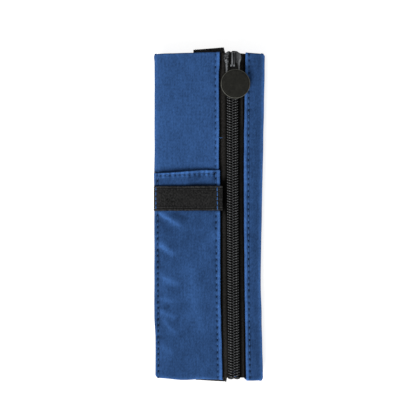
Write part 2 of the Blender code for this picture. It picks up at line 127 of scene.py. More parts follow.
def add_node(
    tree: NodeTree, kind: str, inputs: dict[str | int, object] | None = None, **settings: object
) -> Node:
    """Add a shader node, with its settings and what feeds its sockets.

    Args:
        tree: The node tree that takes the node.
        kind: The node's type name.
        inputs: A value or an output socket for each input, by the input's name or place.
        **settings: Values for the node's own settings.

    Returns:
        The new node.
    """
    made = tree.nodes.new(kind)
    for name, value in settings.items():
        setattr(made, name, value)
    for name, value in (inputs or {}).items():
        if isinstance(value, NodeSocket):
            tree.links.new(value, made.inputs[name])
        else:
            made.inputs[name].default_value = value
    return made


class Lie(Enum):
    """Which way the bands of a pattern follow one another."""

    ACROSS = "X"
    ALONG = "Y"
    SLANTING = "DIAGONAL"


@dataclass(frozen=True)
class Grain:
    """Slubs, flecks, clouds or powder: soft grains with a length along each axis.

    The last three fields are its shares of the colour, the height and the roughness.
    """

    size: tuple[float, float, float]
    detail: float = 2.0
    shade: float = 0.0
    height: float = 0.0
    rough: float = 0.0

    def draw(self, tree: NodeTree, place: NodeSocket) -> NodeSocket:
        """Draw the grains.

        Args:
            tree: The material's node tree.
            place: Where on the piece, in metres.

        Returns:
            The pattern, from 0 to 1.
        """
        scale = tuple(1 / part for part in self.size)
        scaled = add_node(tree, "ShaderNodeMapping", {"Vector": place, "Scale": scale}).outputs[0]
        look = {"Vector": scaled, "Scale": 1.0, "Detail": self.detail, "Roughness": 0.6}
        return add_node(tree, "ShaderNodeTexNoise", look).outputs["Fac"]


@dataclass(frozen=True)
class Rows:
    """Ribs, cords or plies: bands a spacing apart, that wander a little.

    The last three fields are its shares of the colour, the height and the roughness.
    """

    spacing: float
    lie: Lie
    wander: float
    detail: float = 2.0
    detail_scale: float = 1.0
    stretch: float = 1.0
    shade: float = 0.0
    height: float = 0.0
    rough: float = 0.0

    def draw(self, tree: NodeTree, place: NodeSocket) -> NodeSocket:
        """Draw the bands.

        Args:
            tree: The material's node tree.
            place: Where on the piece, in metres.

        Returns:
            The pattern, from 0 to 1.
        """
        scale = (1.0, self.stretch, 1.0)
        scaled = add_node(tree, "ShaderNodeMapping", {"Vector": place, "Scale": scale}).outputs[0]
        look = {
            "Vector": scaled, "Scale": tau / (10 * self.spacing), "Distortion": self.wander,
            "Detail": self.detail, "Detail Scale": self.detail_scale,
        }
        return add_node(tree, "ShaderNodeTexWave", look, bands_direction=self.lie.value).outputs["Fac"]


Patterns = tuple[Grain | Rows, ...]


@dataclass(frozen=True)
class Finish:
    """What every finish shares: its colour, its gloss and how its patterns reach the shader.

    A tone of 1 lightens the colour by the share lift, and a tone of -1 darkens it by the share fall.
    Relief is the real height of the patterns, and shown is the share of it that shows. A mapped finish
    follows the piece's own cloth map, and any other follows the piece.
    """

    name: str
    colour: str
    roughness: float
    metallic: float = 0.0
    specular: float = 0.5
    lift: float = 1.0
    fall: float = 0.9
    relief: float = 0.05 * MM
    shown: float = 1.0
    sheen: float = 0.0
    sheen_roughness: float = 0.5
    coat: float = 0.0
    coat_roughness: float = 0.03
    mapped: bool = False
    patterns: Patterns = ()

    def make(self) -> Material:
        """The finish as a material, made once and then shared."""
        known = bpy.data.materials.get(self.name)
        if known:
            return known
        made = bpy.data.materials.new(self.name)
        made.use_nodes = True
        tree = made.node_tree
        sockets = tree.nodes["Principled BSDF"].inputs
        levels = {
            "Roughness": self.roughness, "Metallic": self.metallic, "Sheen Weight": self.sheen,
            "Sheen Roughness": self.sheen_roughness, "Coat Weight": self.coat,
            "Coat Roughness": self.coat_roughness,
        }
        if not self.metallic:
            levels["Specular IOR Level"] = self.specular
        for name, level in levels.items():
            sockets[name].default_value = level
        if self.mapped:
            place = add_node(tree, "ShaderNodeUVMap", uv_map=CLOTH_MAP).outputs["UV"]
        else:
            place = add_node(tree, "ShaderNodeTexCoord").outputs["Object"]
        drawn = [(pattern, pattern.draw(tree, place)) for pattern in self.patterns]
        shade = self.weigh(tree, [(socket, pattern.shade) for pattern, socket in drawn], 1.0)
        tree.links.new(self.tinted(tree, shade), sockets["Base Color"])
        height = self.weigh(tree, [(socket, pattern.height) for pattern, socket in drawn], 0.5)
        bump = {"Height": height, "Distance": self.relief, "Strength": self.shown}
        tree.links.new(add_node(tree, "ShaderNodeBump", bump).outputs[0], sockets["Normal"])
        rough = [(socket, pattern.rough) for pattern, socket in drawn if pattern.rough]
        if rough:
            tree.links.new(self.weigh(tree, rough, self.roughness), sockets["Roughness"])
        return made

    def weigh(self, tree: NodeTree, parts: list[tuple[NodeSocket, float]], middle: float) -> NodeSocket:
        """Add up patterns that run from 0 to 1, each about its own middle.

        Args:
            tree: The material's node tree.
            parts: Each pattern with its weight.
            middle: The sum where every pattern is at its middle.

        Returns:
            The sum.
        """
        total: NodeSocket | float = middle - sum(weight for _, weight in parts) / 2
        for pattern, weight in parts:
            if weight:
                terms = {0: pattern, 1: weight, 2: total}
                total = add_node(tree, "ShaderNodeMath", terms, operation="MULTIPLY_ADD").outputs[0]
        return total

    def tinted(self, tree: NodeTree, shade: NodeSocket) -> NodeSocket:
        """The colour, made lighter or darker by the vertex tone: random unevenness and wear, painted
        highlights on raised places and painted shade where the piece is pressed in.

        Args:
            tree: The material's node tree.
            shade: Brightness of the bare pattern, about 1.

        Returns:
            The colour socket.
        """
        value: NodeSocket | float = 1.0
        tone = add_node(tree, "ShaderNodeAttribute", attribute_name=TONE).outputs["Fac"]
        for side, share in (("MAXIMUM", self.lift), ("MINIMUM", self.fall)):
            part = add_node(tree, "ShaderNodeMath", {0: tone, 1: 0.0}, operation=side).outputs[0]
            terms = {0: part, 1: share, 2: value}
            value = add_node(tree, "ShaderNodeMath", terms, operation="MULTIPLY_ADD").outputs[0]
        both = add_node(tree, "ShaderNodeMath", {0: value, 1: shade}, operation="MULTIPLY")
        look = {"Value": both.outputs[0], "Color": to_linear(self.colour)}
        return add_node(tree, "ShaderNodeHueSaturation", look).outputs["Color"]


@dataclass(frozen=True)
class CottonTwill(Finish):
    """Piece-dyed cotton twill: matte, with steep diagonal ribs, slubs along the warp and a faint bloom.

    The ribs are 0.45 mm apart on the real cloth. They are drawn 0.9 mm apart, or they would not show.
    """

    lift: float = 1.1
    relief: float = 0.10 * MM
    shown: float = 0.7
    sheen: float = 0.05
    sheen_roughness: float = 0.45
    mapped: bool = True
    patterns: Patterns = (
        Rows(0.9 * MM, Lie.SLANTING, 1.6, 1.0, 1.5, 0.55, shade=0.12, height=0.4),
        Grain((0.9 * MM, 6.5 * MM, 1.0), 3.0, shade=0.75, height=0.6),
        Grain((0.95 * MM, 1.2 * MM, 1.0), shade=1.10, height=0.5),
        Grain((8 * MM, 14 * MM, 1.0), 1.0, shade=0.35),
    )


@dataclass(frozen=True)
class PlainLining(Finish):
    """Plain-woven polyester lining: thin and calendered, so it has a soft shine along the threads.

    The crossed threads are drawn at twice their real spacing, so that they show.
    """

    lift: float = 0.5
    fall: float = 0.5
    mapped: bool = True
    patterns: Patterns = (
        Rows(0.5 * MM, Lie.ACROSS, 0.6, shade=0.15, height=0.5),
        Rows(0.5 * MM, Lie.ALONG, 0.6, shade=0.15, height=0.5), Grain((5 * MM, 12 * MM, 1.0), shade=0.3),
    )


@dataclass(frozen=True)
class WovenZipTape(Finish):
    """Black polyester zip tape, narrow woven: dull, with fine lengthwise cords and a faint herringbone.

    The cords are drawn about twice as far apart as the real ones, so that they show.
    """

    relief: float = 0.12 * MM
    mapped: bool = True
    patterns: Patterns = (
        Rows(0.85 * MM, Lie.ACROSS, 0.5, shade=0.45, height=0.5),
        Rows(0.8 * MM, Lie.SLANTING, 1.5, shade=0.35, height=0.4),
        Grain((0.6 * MM, 1.1 * MM, 1.0), shade=2.2, height=0.4),
    )


@dataclass(frozen=True)
class NylonMonofilament(Finish):
    """Drawn nylon monofilament, wound into a coil and heat-set: smooth, with a soft plastic gloss."""

    lift: float = 1.2
    fall: float = 0.6
    relief: float = 0.03 * MM
    shown: float = 0.6
    patterns: Patterns = (
        Grain((0.5 * MM, 0.5 * MM, 0.5 * MM), shade=0.5, height=1.0),
        Grain((2.5 * MM, 1.1 * MM, 3 * MM), 1.0, shade=0.7),
    )


@dataclass(frozen=True)
class SpunThread(Finish):
    """Spun polyester sewing thread: two plies twisted together, soft and faintly fuzzy.

    The twist is drawn a little coarse, so that it shows.
    """

    lift: float = 0.8
    fall: float = 0.6
    sheen: float = 0.1
    patterns: Patterns = (
        Rows(0.45 * sqrt(2) * MM, Lie.SLANTING, 0.8, shade=0.3, height=1.0),
        Grain((0.4 * MM, 0.4 * MM, 0.4 * MM), shade=0.3),
    )


@dataclass(frozen=True)
class WovenElastic(Finish):
    """Black woven elastic: rubber cords covered in polyester, so ribs run across it and it stays dull.

    The ribs are 0.6 mm apart on the real strip. They are drawn coarser, or they would not show.
    """

    lift: float = 1.6
    fall: float = 1.0
    relief: float = 0.12 * MM
    shown: float = 0.8
    sheen: float = 0.08
    mapped: bool = True
    patterns: Patterns = (
        Rows(1.05 * MM, Lie.ACROSS, 1.2, 1.0, shade=1.3, height=0.7),
        Rows(1.6 * MM, Lie.ALONG, 0.4, shade=0.35, height=0.3),
        Grain((0.75 * MM, 1.1 * MM, 1.0), 3.0, shade=5.0, height=0.3),
        Grain((7 * MM, 4 * MM, 1.0), 1.0, shade=0.9),
    )


@dataclass(frozen=True)
class LacqueredZinc(Finish):
    """Die-cast zinc, tumbled and sprayed with black lacquer: glossy and thin, with edges paler from wear and
    from a painted highlight.
    """

    lift: float = 7.0
    fall: float = 1.0
    shown: float = 0.5
    coat: float = 0.04
    coat_roughness: float = 0.1
    patterns: Patterns = (
        Grain((0.9 * MM, 0.9 * MM, 0.9 * MM), shade=0.9, height=1.0),
        Grain((2.7 * MM, 2.7 * MM, 2.7 * MM), shade=0.9, rough=0.22),
    )


@dataclass(frozen=True)
class MatteLacquer(Finish):
    """Stamped disc sprayed with matte lacquer: nearly even, with a mottle as of fine powder."""

    lift: float = 5.0
    fall: float = 0.7
    relief: float = 0.03 * MM
    shown: float = 0.6
    patterns: Patterns = (
        Grain((0.9 * MM, 0.9 * MM, 0.9 * MM), 3.0, shade=1.10, height=1.0),
        Grain((2.88 * MM, 2.88 * MM, 2.88 * MM), shade=0.90, rough=0.2),
    )


@dataclass(frozen=True)
class DrawnSpringSteel(Finish):
    """Cold-rolled spring steel: bright, with fine lines along the strip."""

    lift: float = 0.2
    fall: float = 0.2
    relief: float = 0.01 * MM
    shown: float = 0.5
    patterns: Patterns = (
        Grain((0.12 * MM, 3 * MM, 0.12 * MM), shade=0.4, height=1.0, rough=0.2),
    )


TWILL = CottonTwill("cotton_twill_piece_dyed", "#325487", 0.9, specular=0.04)
LINING = PlainLining("polyester_lining_calendered", "#1B1B1E", 0.55)
TAPE = WovenZipTape("polyester_tape_woven", "#1B1A19", 0.9, specular=0.03)
COIL = NylonMonofilament("nylon_coil_heat_set", "#303132", 0.42, specular=0.2)
BLUE_THREAD = SpunThread("polyester_thread_blue_spun", "#38639C", 0.8, specular=0.2)
BLACK_THREAD = SpunThread("polyester_thread_black_spun", "#0C0C0C", 0.9, specular=0.02)
# A black cord, drawn darker than the black threads so that the gaps between the coil's turns carry painted
# shade.
FILLER = SpunThread("polyester_filler_cord_spun", "#0A0A0A", 0.9, specular=0.02)
ELASTIC = WovenElastic("woven_elastic_covered_rubber", "#232323", 0.9, specular=0.05)
ZINC = LacqueredZinc("zinc_die_cast_black_lacquered", "#1F2021", 0.3, specular=0.05)
LACQUER = MatteLacquer("steel_stamped_matte_lacquered", "#262623", 0.55, specular=0.03)
SPRING = DrawnSpringSteel("spring_steel_cold_rolled", "#B4B4B8", 0.3, metallic=1.0)


# Shared shapes


def between(low: float, high: float, share: float) -> float:
    """The value at a share of the way from low to high."""
    return low + (high - low) * share


def clamp(value: float, low: float = 0.0, high: float = 1.0) -> float:
    """The value, kept between two limits."""
    return min(high, max(low, value))


def ease(value: float) -> float:
    """A smooth step from 0 to 1 as the value goes from 0 to 1."""
    held = clamp(value)
    return held * held * (3 - 2 * held)


def bell(off: float, width: float, power: int = 2) -> float:
    """Falls from 1 where off is 0, with a flatter top for a higher even power."""
    return exp(-((off / width) ** power))


def drift(x: float, y: float, size: float, seed: float) -> float:
    """Soft noise at a place, between about -1 and 1, that changes over the distance size."""
    return noise.noise(Vector((x / size, y / size, seed)))


@dataclass(frozen=True)
class PouchOutline:
    """Outline and levels of the sewn pouch, as its solids have them, with softer corners."""

    top_reach: float = 85.0
    bottom_reach: float = 85.6
    left_reach: float = 28.7
    right_reach_top: float = 29.0
    right_reach_waist: float = 26.75
    right_reach_bottom: float = 28.05
    waist_y: float = -34.0
    waist_softness: float = 4.0
    left_corner_setback: float = 1.0
    right_corner_setback: float = 1.1
    left_sag: float = 0.7
    right_sag: float = 0.6
    corner_radius: float = 1.5
    side_margin: float = 8.0
    end_margin: float = 10.0
    side_drop: float = 3.0
    rounding_power: float = 2.2
    front_top: float = 9.0
    outer_fabric: float = 0.8
    back_fabric: float = 0.5
    side_stack: float = 1.3
    end_stack: float = 2.2
    open_stack: float = 6.6
    zip_x_top: float = 11.9
    zip_x_bottom: float = 12.7
    left_gap_top: float = 7.05
    left_gap_bottom: float = 6.55
    right_gap_half: float = 5.35
    right_gap_spread: Point = (0.6, 1.2)
    left_draw: float = 0.6
    edge_wander: float = 0.16

    @property
    def length(self) -> float:
        """Distance between the two end seams."""
        return self.top_reach + self.bottom_reach

    def zip_x(self, y: float) -> float:
        """Centre line of the zip."""
        return between(self.zip_x_bottom, self.zip_x_top, (y + self.bottom_reach) / self.length)

    def corner(self, y: float, side: Side) -> float:
        """How far a side falls back near an end, so that the corner is round."""
        if side is Side.LEFT:
            top, bottom = self.left_corner_setback, self.left_corner_setback
        else:
            top, bottom = self.right_corner_setback, -self.right_sag
        near = min(self.top_reach - y - top, y + self.bottom_reach - bottom)
        away = clamp(1 - near / self.corner_radius)
        return self.corner_radius * (1 - sqrt(max(0.0, 1 - away * away)))

    def left_edge(self, y: float) -> float:
        """Left side seam, not quite straight, and drawn in towards the bottom by its stitches."""
        draw = self.left_draw * ease((-52 - y) / 12)
        wander = self.edge_wander * drift(0, y, 13, 3.1)
        corner = self.corner(y, Side.LEFT)
        bulge = 0.22 * bell(y - 22, 6)
        bulge += 0.42 * bell(y - 83.5, 3)
        return -self.left_reach + corner + draw - bulge + max(wander, -0.04)

    def right_edge(self, y: float) -> float:
        """Right side seam, drawn in to a soft waist."""
        above = y - self.waist_y
        swing = hypot(above, self.waist_softness) - self.waist_softness
        if above > 0:
            slope = (self.right_reach_top - self.right_reach_waist) / (self.top_reach - self.waist_y)
        else:
            slope = (self.right_reach_bottom - self.right_reach_waist) / (self.bottom_reach + self.waist_y)
        wander = self.edge_wander * drift(0, y, 11, 7.7)
        corner = self.corner(y, Side.RIGHT)
        return self.right_reach_waist + slope * swing - corner + wander

    def setback(self, x: float) -> float:
        """How far an end seam falls back from the zip towards a corner."""
        middle = (self.zip_x_top + self.zip_x_bottom) / 2
        if x < middle:
            return self.left_corner_setback * clamp((middle - x) / (middle + self.left_reach))
        return self.right_corner_setback * clamp((x - middle) / (self.right_reach_top - middle))

    def top_edge(self, x: float) -> float:
        """Top end seam."""
        return self.top_reach - self.setback(x) + self.edge_wander * drift(x, 0, 9, 1.4)

    def bottom_edge(self, x: float) -> float:
        """Bottom end seam, which hangs a little below the zip's own end on both panels."""
        sag = self.left_sag * bell(x + 16.5, 8)
        sag += (self.right_sag + self.setback(x)) * ease((x - 16.6) / 1.4)
        wander = self.edge_wander * drift(x, 0, 9, 5.2)
        return -self.bottom_reach + self.setback(x) - sag + wander

    def left_gap(self, y: float) -> float:
        """Folded edge of the left front panel at the zip."""
        share = ease((y + 82) / 40)
        half = between(self.left_gap_bottom, self.left_gap_top, share)
        half += 0.22 * share * ease((48 - y) / 20)
        half -= 0.50 * ease((y - 72) / 10)
        return self.zip_x(y) - half + 0.12 * drift(0, y, 7, 9.9)

    def right_gap(self, y: float) -> float:
        """Folded edge of the right front panel at the zip, nearest to the zip in its middle."""
        away = (y - 5) / 80
        spread = self.right_gap_spread[away > 0] * away * away
        wander = 0.10 * drift(0, y, 7, 4.4)
        return self.zip_x(y) + self.right_gap_half + 0.3 + spread + wander

    def rounded(self, distance: float, margin: float) -> float:
        """Rises from 0 at a seam to 1 where the flat middle starts."""
        return 1 - (1 - clamp(distance / margin)) ** self.rounding_power

    def side_share(self, x: float, y: float) -> float:
        """Rounding across the pouch, from the nearer side seam."""
        right = self.right_edge(y) + self.corner(y, Side.RIGHT)
        near = min(x + self.left_reach, right - x)
        return self.rounded(near, self.side_margin)

    def front_level(self, x: float, y: float) -> float:
        """Upper face of the front panels without their relief."""
        return self.front_top - self.side_drop * (1 - self.side_share(x, y))

    def back_top(self, x: float, y: float) -> float:
        """Inner face of the back panel, which rises to the front along every seam."""
        side = self.side_share(x, y)
        end = self.rounded(min(self.top_edge(x) - y, y - self.bottom_edge(x)), self.end_margin)
        closed = between(self.side_stack, self.end_stack, side)
        stack = between(closed, self.open_stack, side * end)
        return self.front_level(x, y) - self.outer_fabric - stack

    def back_level(self, x: float, y: float) -> float:
        """Outer face of the back panel, without its relief."""
        return self.back_top(x, y) - self.back_fabric


@dataclass(frozen=True)
class StitchRow:
    """A straight row of lockstitch: its ends, its pitch, and how it draws the cloth in."""

    start: Point
    end: Point
    pitch: float = 3.2
    groove_depth: float = 0.14
    groove_width: float = 0.55
    hole_depth: float = 0.22
    hole_width: float = 0.40
    hole_length: float = 0.62
    hole_slant: float = 0.0
    pucker: float = 0.10
    pucker_reach: float = 2.2
    puff: float = 0.06
    # Painted light: how much lighter a swell is drawn, and how much darker the groove and the needle holes
    # are drawn as painted shade.
    swell_painted_light: float = 2.0
    groove_painted_shade: float = 0.15
    hole_painted_shade: float = 1.25
    bow: float = 0.0
    seed: float = 1.0

    @property
    def run(self) -> Vector:
        """From the start of the row to its end."""
        return Vector(self.end) - Vector(self.start)

    @property
    def count(self) -> int:
        """Number of stitches."""
        return max(1, round(self.run.length / self.pitch))

    @property
    def across(self) -> Vector:
        """Direction square to the row."""
        along = self.run.normalized()
        return Vector((-along.y, along.x))

    def hole(self, index: int) -> Vector:
        """Place of a needle hole, slightly off the line as a real one is."""
        share = index / self.count
        stray = 0.07 * noise.noise(Vector((index * 1.7, self.seed, 0.5)))
        stray += self.bow * 4 * share * (1 - share)
        early = 0.35 * noise.noise(Vector((index * 1.3, self.seed, 3.5)))
        along = self.run * share + self.run.normalized() * early
        return Vector(self.start) + along + self.across * stray

    def press(self, x: float, y: float) -> Point:
        """How far the row pulls the cloth down at a place, and how much painted shade and painted highlight
        it gets.

        Args:
            x: Place across.
            y: Place along.

        Returns:
            Height to add, which is below 0 in the groove, and tone to add: painted shade in the groove and
            needle holes, painted highlight where the cloth swells.
        """
        run = self.run
        away = Vector((x, y)) - Vector(self.start)
        share = away.dot(run) / run.length_squared
        if not -0.02 < share < 1.02:
            return 0.0, 0.0
        off = abs(away.dot(self.across) - self.bow * 4 * share * (1 - share))
        if off > 7:
            return 0.0, 0.0
        groove = bell(off, self.groove_width)
        index = round(clamp(share) * self.count)
        near = Vector((x, y)) - self.hole(index)
        long, wide = near.dot(run) / run.length, near.dot(self.across)
        wide += self.hole_slant * long
        hole = exp(-((long / self.hole_length) ** 2) - (wide / self.hole_width) ** 2)
        drawn = 1 + 0.7 * noise.noise(Vector((index * 0.9, self.seed, 7.5)))
        wave = 1.6 * drift(share * run.length, self.seed * 1e4, 3.0, self.seed)
        swell = self.pucker * wave * exp(-off / self.pucker_reach)
        lifted = sin(pi * share * self.count) ** 2 - 0.5
        swell += self.puff * lifted * bell(off, 1.5)
        height = swell - self.groove_depth * groove - self.hole_depth * hole
        # Painted highlight on swells and painted shade in dips, the groove and the needle holes, with a
        # random spread between holes.
        tone = self.swell_painted_light * swell - self.groove_painted_shade * groove - self.hole_painted_shade * drawn * hole
        return height, tone


@dataclass(frozen=True)
class Crease:
    """A soft fold that stands up from the cloth, or a hollow where its height is below 0."""

    start: Point
    end: Point
    height: float
    half_width: float

    def rise(self, x: float, y: float) -> float:
        """Height of the fold at a place.

        Args:
            x: Place across.
            y: Place along.

        Returns:
            Height to add.
        """
        run = Vector(self.end) - Vector(self.start)
        away = Vector((x, y)) - Vector(self.start)
        share = away.dot(run) / run.length_squared
        if not 0 < share < 1:
            return 0.0
        off = abs(away.x * run.y - away.y * run.x) / run.length
        taper = 1 - (2 * share - 1) ** 4
        return self.height * taper * taper * bell(off, self.half_width)


@dataclass(frozen=True)
class EdgeTurn:
    """How one edge of a cloth panel ends: rolled to its seam, or folded under as a hem.

    The roll goes from crest degrees, where it leaves the flat cloth, to seam degrees below the
    outermost point. A hem then runs back under the cloth by its lap.
    """

    radius: float
    seam: float
    crest: float = 90.0
    lap: float = 0.0
    turn_cells: int = 5
    lap_cells: int = 0

    @property
    def cells(self) -> int:
        """Grid cells from the flat cloth to the end of the turned edge."""
        return self.turn_cells + self.lap_cells

    @property
    def join(self) -> float:
        """Distance from the outermost point to where the flat cloth starts."""
        return self.radius * (1 - cos(radians(self.crest)))

    def at(self, cell: int) -> tuple[float, float, float]:
        """Place on the turned edge.

        Args:
            cell: Grid cells back from where the flat cloth starts.

        Returns:
            Distance in from the outermost point, drop below the flat cloth, and length of cloth.
        """
        crest, seam = radians(self.crest), radians(self.seam)
        turned = min(1.0, cell / self.turn_cells)
        angle = between(crest, seam, turned)
        inset = self.radius * (1 - cos(angle))
        drop = self.radius * (sin(crest) - sin(angle))
        used = self.radius * (crest - angle)
        if cell > self.turn_cells:
            back = self.lap * (cell - self.turn_cells) / self.lap_cells
            inset += back
            used += back
        return inset, drop, used


@dataclass(frozen=True)
class Station:
    """One line of a cloth grid, across or along."""

    share: float
    turned: int = 0
    low: bool = True


def stations(
    length: float, low: EdgeTurn, high: EdgeTurn, fine: Sequence[float], cell: float
) -> list[Station]:
    """Lay out the lines of a cloth grid, closer together where stitches pull the cloth.

    Args:
        length: Distance across the panel.
        low: Finish of the edge where the grid starts.
        high: Finish of the edge where it ends.
        fine: Shares of the way across near which the lines are close.
        cell: Usual distance between lines.

    Returns:
        The lines in order.
    """
    made = [Station(0.0, cell_index, True) for cell_index in range(low.cells, 0, -1)]
    share = 0.0
    while share < 1:
        made.append(Station(share))
        near = min((abs(share - place) * length for place in fine), default=inf)
        share += cell * (0.5 if near < 1.3 else 1.0) / length
    made.append(Station(1.0))
    return made + [Station(1.0, cell_index, False) for cell_index in range(1, high.cells + 1)]


def face_out(bm: BMesh) -> None:
    """Turn every face outwards."""
    bmesh.ops.recalc_face_normals(bm, faces=bm.faces[:])


def map_cloth(bm: BMesh, places: dict[BMVert, Point]) -> None:
    """Write a sheet's cloth map.

    Args:
        bm: The sheet.
        places: Where each vertex lies on the flat cloth, in metres.
    """
    layer = bm.loops.layers.uv.new(CLOTH_MAP)
    for face in bm.faces:
        for loop in face.loops:
            loop[layer].uv = places[loop.vert]


def only(kind: type, parts: Iterable[object]) -> list:
    """The parts of one kind among those that an operator returns."""
    return [part for part in parts if isinstance(part, kind)]


@dataclass
class ClothPanel:
    """A cut piece of cloth, sewn down along its edges.

    The panel lies between two side lines and two end lines. Its level says how high its outer face is,
    and its relief adds puckers and creases, with their tone: random unevenness, and painted light and shade.
    """

    sides: tuple[Edge, Edge]
    ends: tuple[Edge, Edge]
    turns: tuple[EdgeTurn, EdgeTurn, EdgeTurn, EdgeTurn]
    level: Level
    relief: Callable[[float, float], Point]
    facing: int = 1
    cell: float = 0.62
    tuck: float = 1.0
    darkest: float = -0.92
    fine_across: Sequence[float] = ()
    fine_along: Sequence[float] = ()

    @property
    def middle(self) -> Point:
        """Where the panel's width and length are taken."""
        x = (self.sides[0](0.0) + self.sides[1](0.0)) / 2
        return x, (self.ends[0](x) + self.ends[1](x)) / 2

    @property
    def span(self) -> Point:
        """Width and length between the panel's edges."""
        x, y = self.middle
        return self.sides[1](y) - self.sides[0](y), self.ends[1](x) - self.ends[0](x)

    def build(self) -> BMesh:
        """Shape a grid into the panel.

        Returns:
            The open sheet, with its cloth map and its tone.
        """
        low_x, high_x, low_y, high_y = self.turns
        middle_y = self.middle[1]
        width, length = self.span
        columns = stations(width, low_x, high_x, self.fine_across, self.cell)
        rows = stations(length, low_y, high_y, self.fine_along, self.cell)
        bm = bmesh.new()
        bmesh.ops.create_grid(bm, x_segments=len(columns) - 1, y_segments=len(rows) - 1, size=0.5)
        tone_layer = bm.verts.layers.float.new(TONE)
        cloth: dict[BMVert, Point] = {}
        for vert in bm.verts:
            column = columns[round((vert.co.x + 0.5) * (len(columns) - 1))]
            row = rows[round((vert.co.y + 0.5) * (len(rows) - 1))]
            turn_x = low_x if column.low else high_x
            turn_y = low_y if row.low else high_y
            in_x, drop_x, used_x = turn_x.at(column.turned) if column.turned else (0, 0, 0)
            in_y, drop_y, used_y = turn_y.at(row.turned) if row.turned else (0, 0, 0)
            guess = between(self.sides[0](middle_y), self.sides[1](middle_y), column.share)
            flat_y = between(self.ends[0](guess) + low_y.join, self.ends[1](guess) - high_y.join, row.share)
            y = flat_y
            if row.turned:
                sign = 1 if row.low else -1
                y = self.ends[0 if row.low else 1](guess) + sign * in_y
            flat_x = between(self.sides[0](y) + low_x.join, self.sides[1](y) - high_x.join, column.share)
            x = flat_x
            if column.turned:
                sign = 1 if column.low else -1
                x = self.sides[0 if column.low else 1](y) + sign * in_x
            in_row, in_column = self.tucked(row.turned, turn_y), self.tucked(column.turned, turn_x)
            if in_row:
                x = clamp(x, self.sides[0](y) + in_row, self.sides[1](y) - in_row)
            if in_column:
                y = clamp(y, self.ends[0](x) + in_column, self.ends[1](x) - in_column)
            rise, tone = self.relief(flat_x, flat_y)
            drop = max(drop_x, drop_y) + 0.3 * min(drop_x, drop_y)
            base_x = x if column.turned and turn_x.lap else flat_x
            level = self.level(base_x, flat_y) + self.facing * (rise - drop)
            vert.co = (x, y, level)
            vert[tone_layer] = max(tone, self.darkest)
            across = flat_x + (-used_x if column.low else used_x)
            along = flat_y + (-used_y if row.low else used_y)
            cloth[vert] = (across * MM, along * MM)
        map_cloth(bm, cloth)
        if self.facing < 0:
            bmesh.ops.reverse_faces(bm, faces=bm.faces[:])
        return bm

    def tucked(self, cell: int, turn: EdgeTurn) -> float:
        """How far the underside of a folded edge keeps inside the edges next to it."""
        return self.tuck * clamp(2 * cell / turn.turn_cells - 1) if turn.lap else 0.0

    def flat_size(self) -> Point:
        """Width and length that the panel is cut to, in metres, with what its edges take."""
        used = [turn.at(turn.cells)[2] - turn.join for turn in self.turns]
        width, length = self.span
        return (width + used[0] + used[1]) * MM, (length + used[2] + used[3]) * MM


def frame_at(point: Vector, along: Vector, across: Vector) -> Matrix:
    """A place on a path: its Z runs along the path, and its X lies as near as it can to across.

    Args:
        point: Place on the path.
        along: Direction of the path.
        across: Direction that X leans to.

    Returns:
        The place as a matrix.
    """
    z_axis = along.normalized()
    x_axis = (across - z_axis * across.dot(z_axis)).normalized()
    made = Matrix((x_axis, z_axis.cross(x_axis), z_axis)).transposed().to_4x4()
    made.translation = point
    return made


def sweep(
    bm: BMesh, path: Sequence[Vector], radii: Sequence[Point], sides: int, across: Vector,
    capped: bool = True,
) -> list[BMVert]:
    """Draw a round or flattened wire along a path.

    Args:
        bm: The mesh that takes the wire.
        path: Its points.
        radii: Half its width along across and square to it, at each point.
        sides: Faces round the wire.
        across: Direction that the wire's own X leans to.
        capped: Whether its ends are closed.

    Returns:
        The wire's vertices, ring by ring.
    """
    frames = []
    for index, point in enumerate(path):
        before, after = path[max(0, index - 1)], path[min(len(path) - 1, index + 1)]
        wide, high = radii[index]
        size = Matrix.Diagonal((wide, high, 1.0, 1.0))
        frames.append(frame_at(point, after - before, across) @ size)
    ring = bmesh.ops.create_circle(bm, segments=sides, radius=1.0, cap_ends=False, matrix=frames[0])
    made = list(ring["verts"])
    loop = list({edge for vert in made for edge in vert.link_edges})
    if capped:
        bmesh.ops.contextual_create(bm, geom=loop)
    for last, place in zip(frames, frames[1:]):
        grown = bmesh.ops.extrude_edge_only(bm, edges=loop)["geom"]
        verts = only(BMVert, grown)
        bmesh.ops.transform(bm, matrix=place @ last.inverted(), verts=verts)
        fresh = set(verts)
        loop = [edge for edge in only(BMEdge, grown) if fresh.issuperset(edge.verts)]
        made += verts
    if capped:
        bmesh.ops.contextual_create(bm, geom=loop)
    return made


def mark_worn_and_highlit_edges(bm: BMesh, verts: Iterable[BMVert], full_angle: float = 40.0) -> None:
    """Give the sharper edges of a hard piece a lighter tone: partly the wear of handling, partly a painted
    highlight where the edges catch the light.

    Args:
        bm: The piece.
        verts: The vertices to mark.
        full_angle: Angle between faces at which an edge is fully worn.
    """
    layer = bm.verts.layers.float.get(TONE) or bm.verts.layers.float.new(TONE)
    for vert in verts:
        angles = [edge.calc_face_angle(0.0) for edge in vert.link_edges]
        vert[layer] = clamp(degrees(max(angles, default=0.0)) / full_angle)


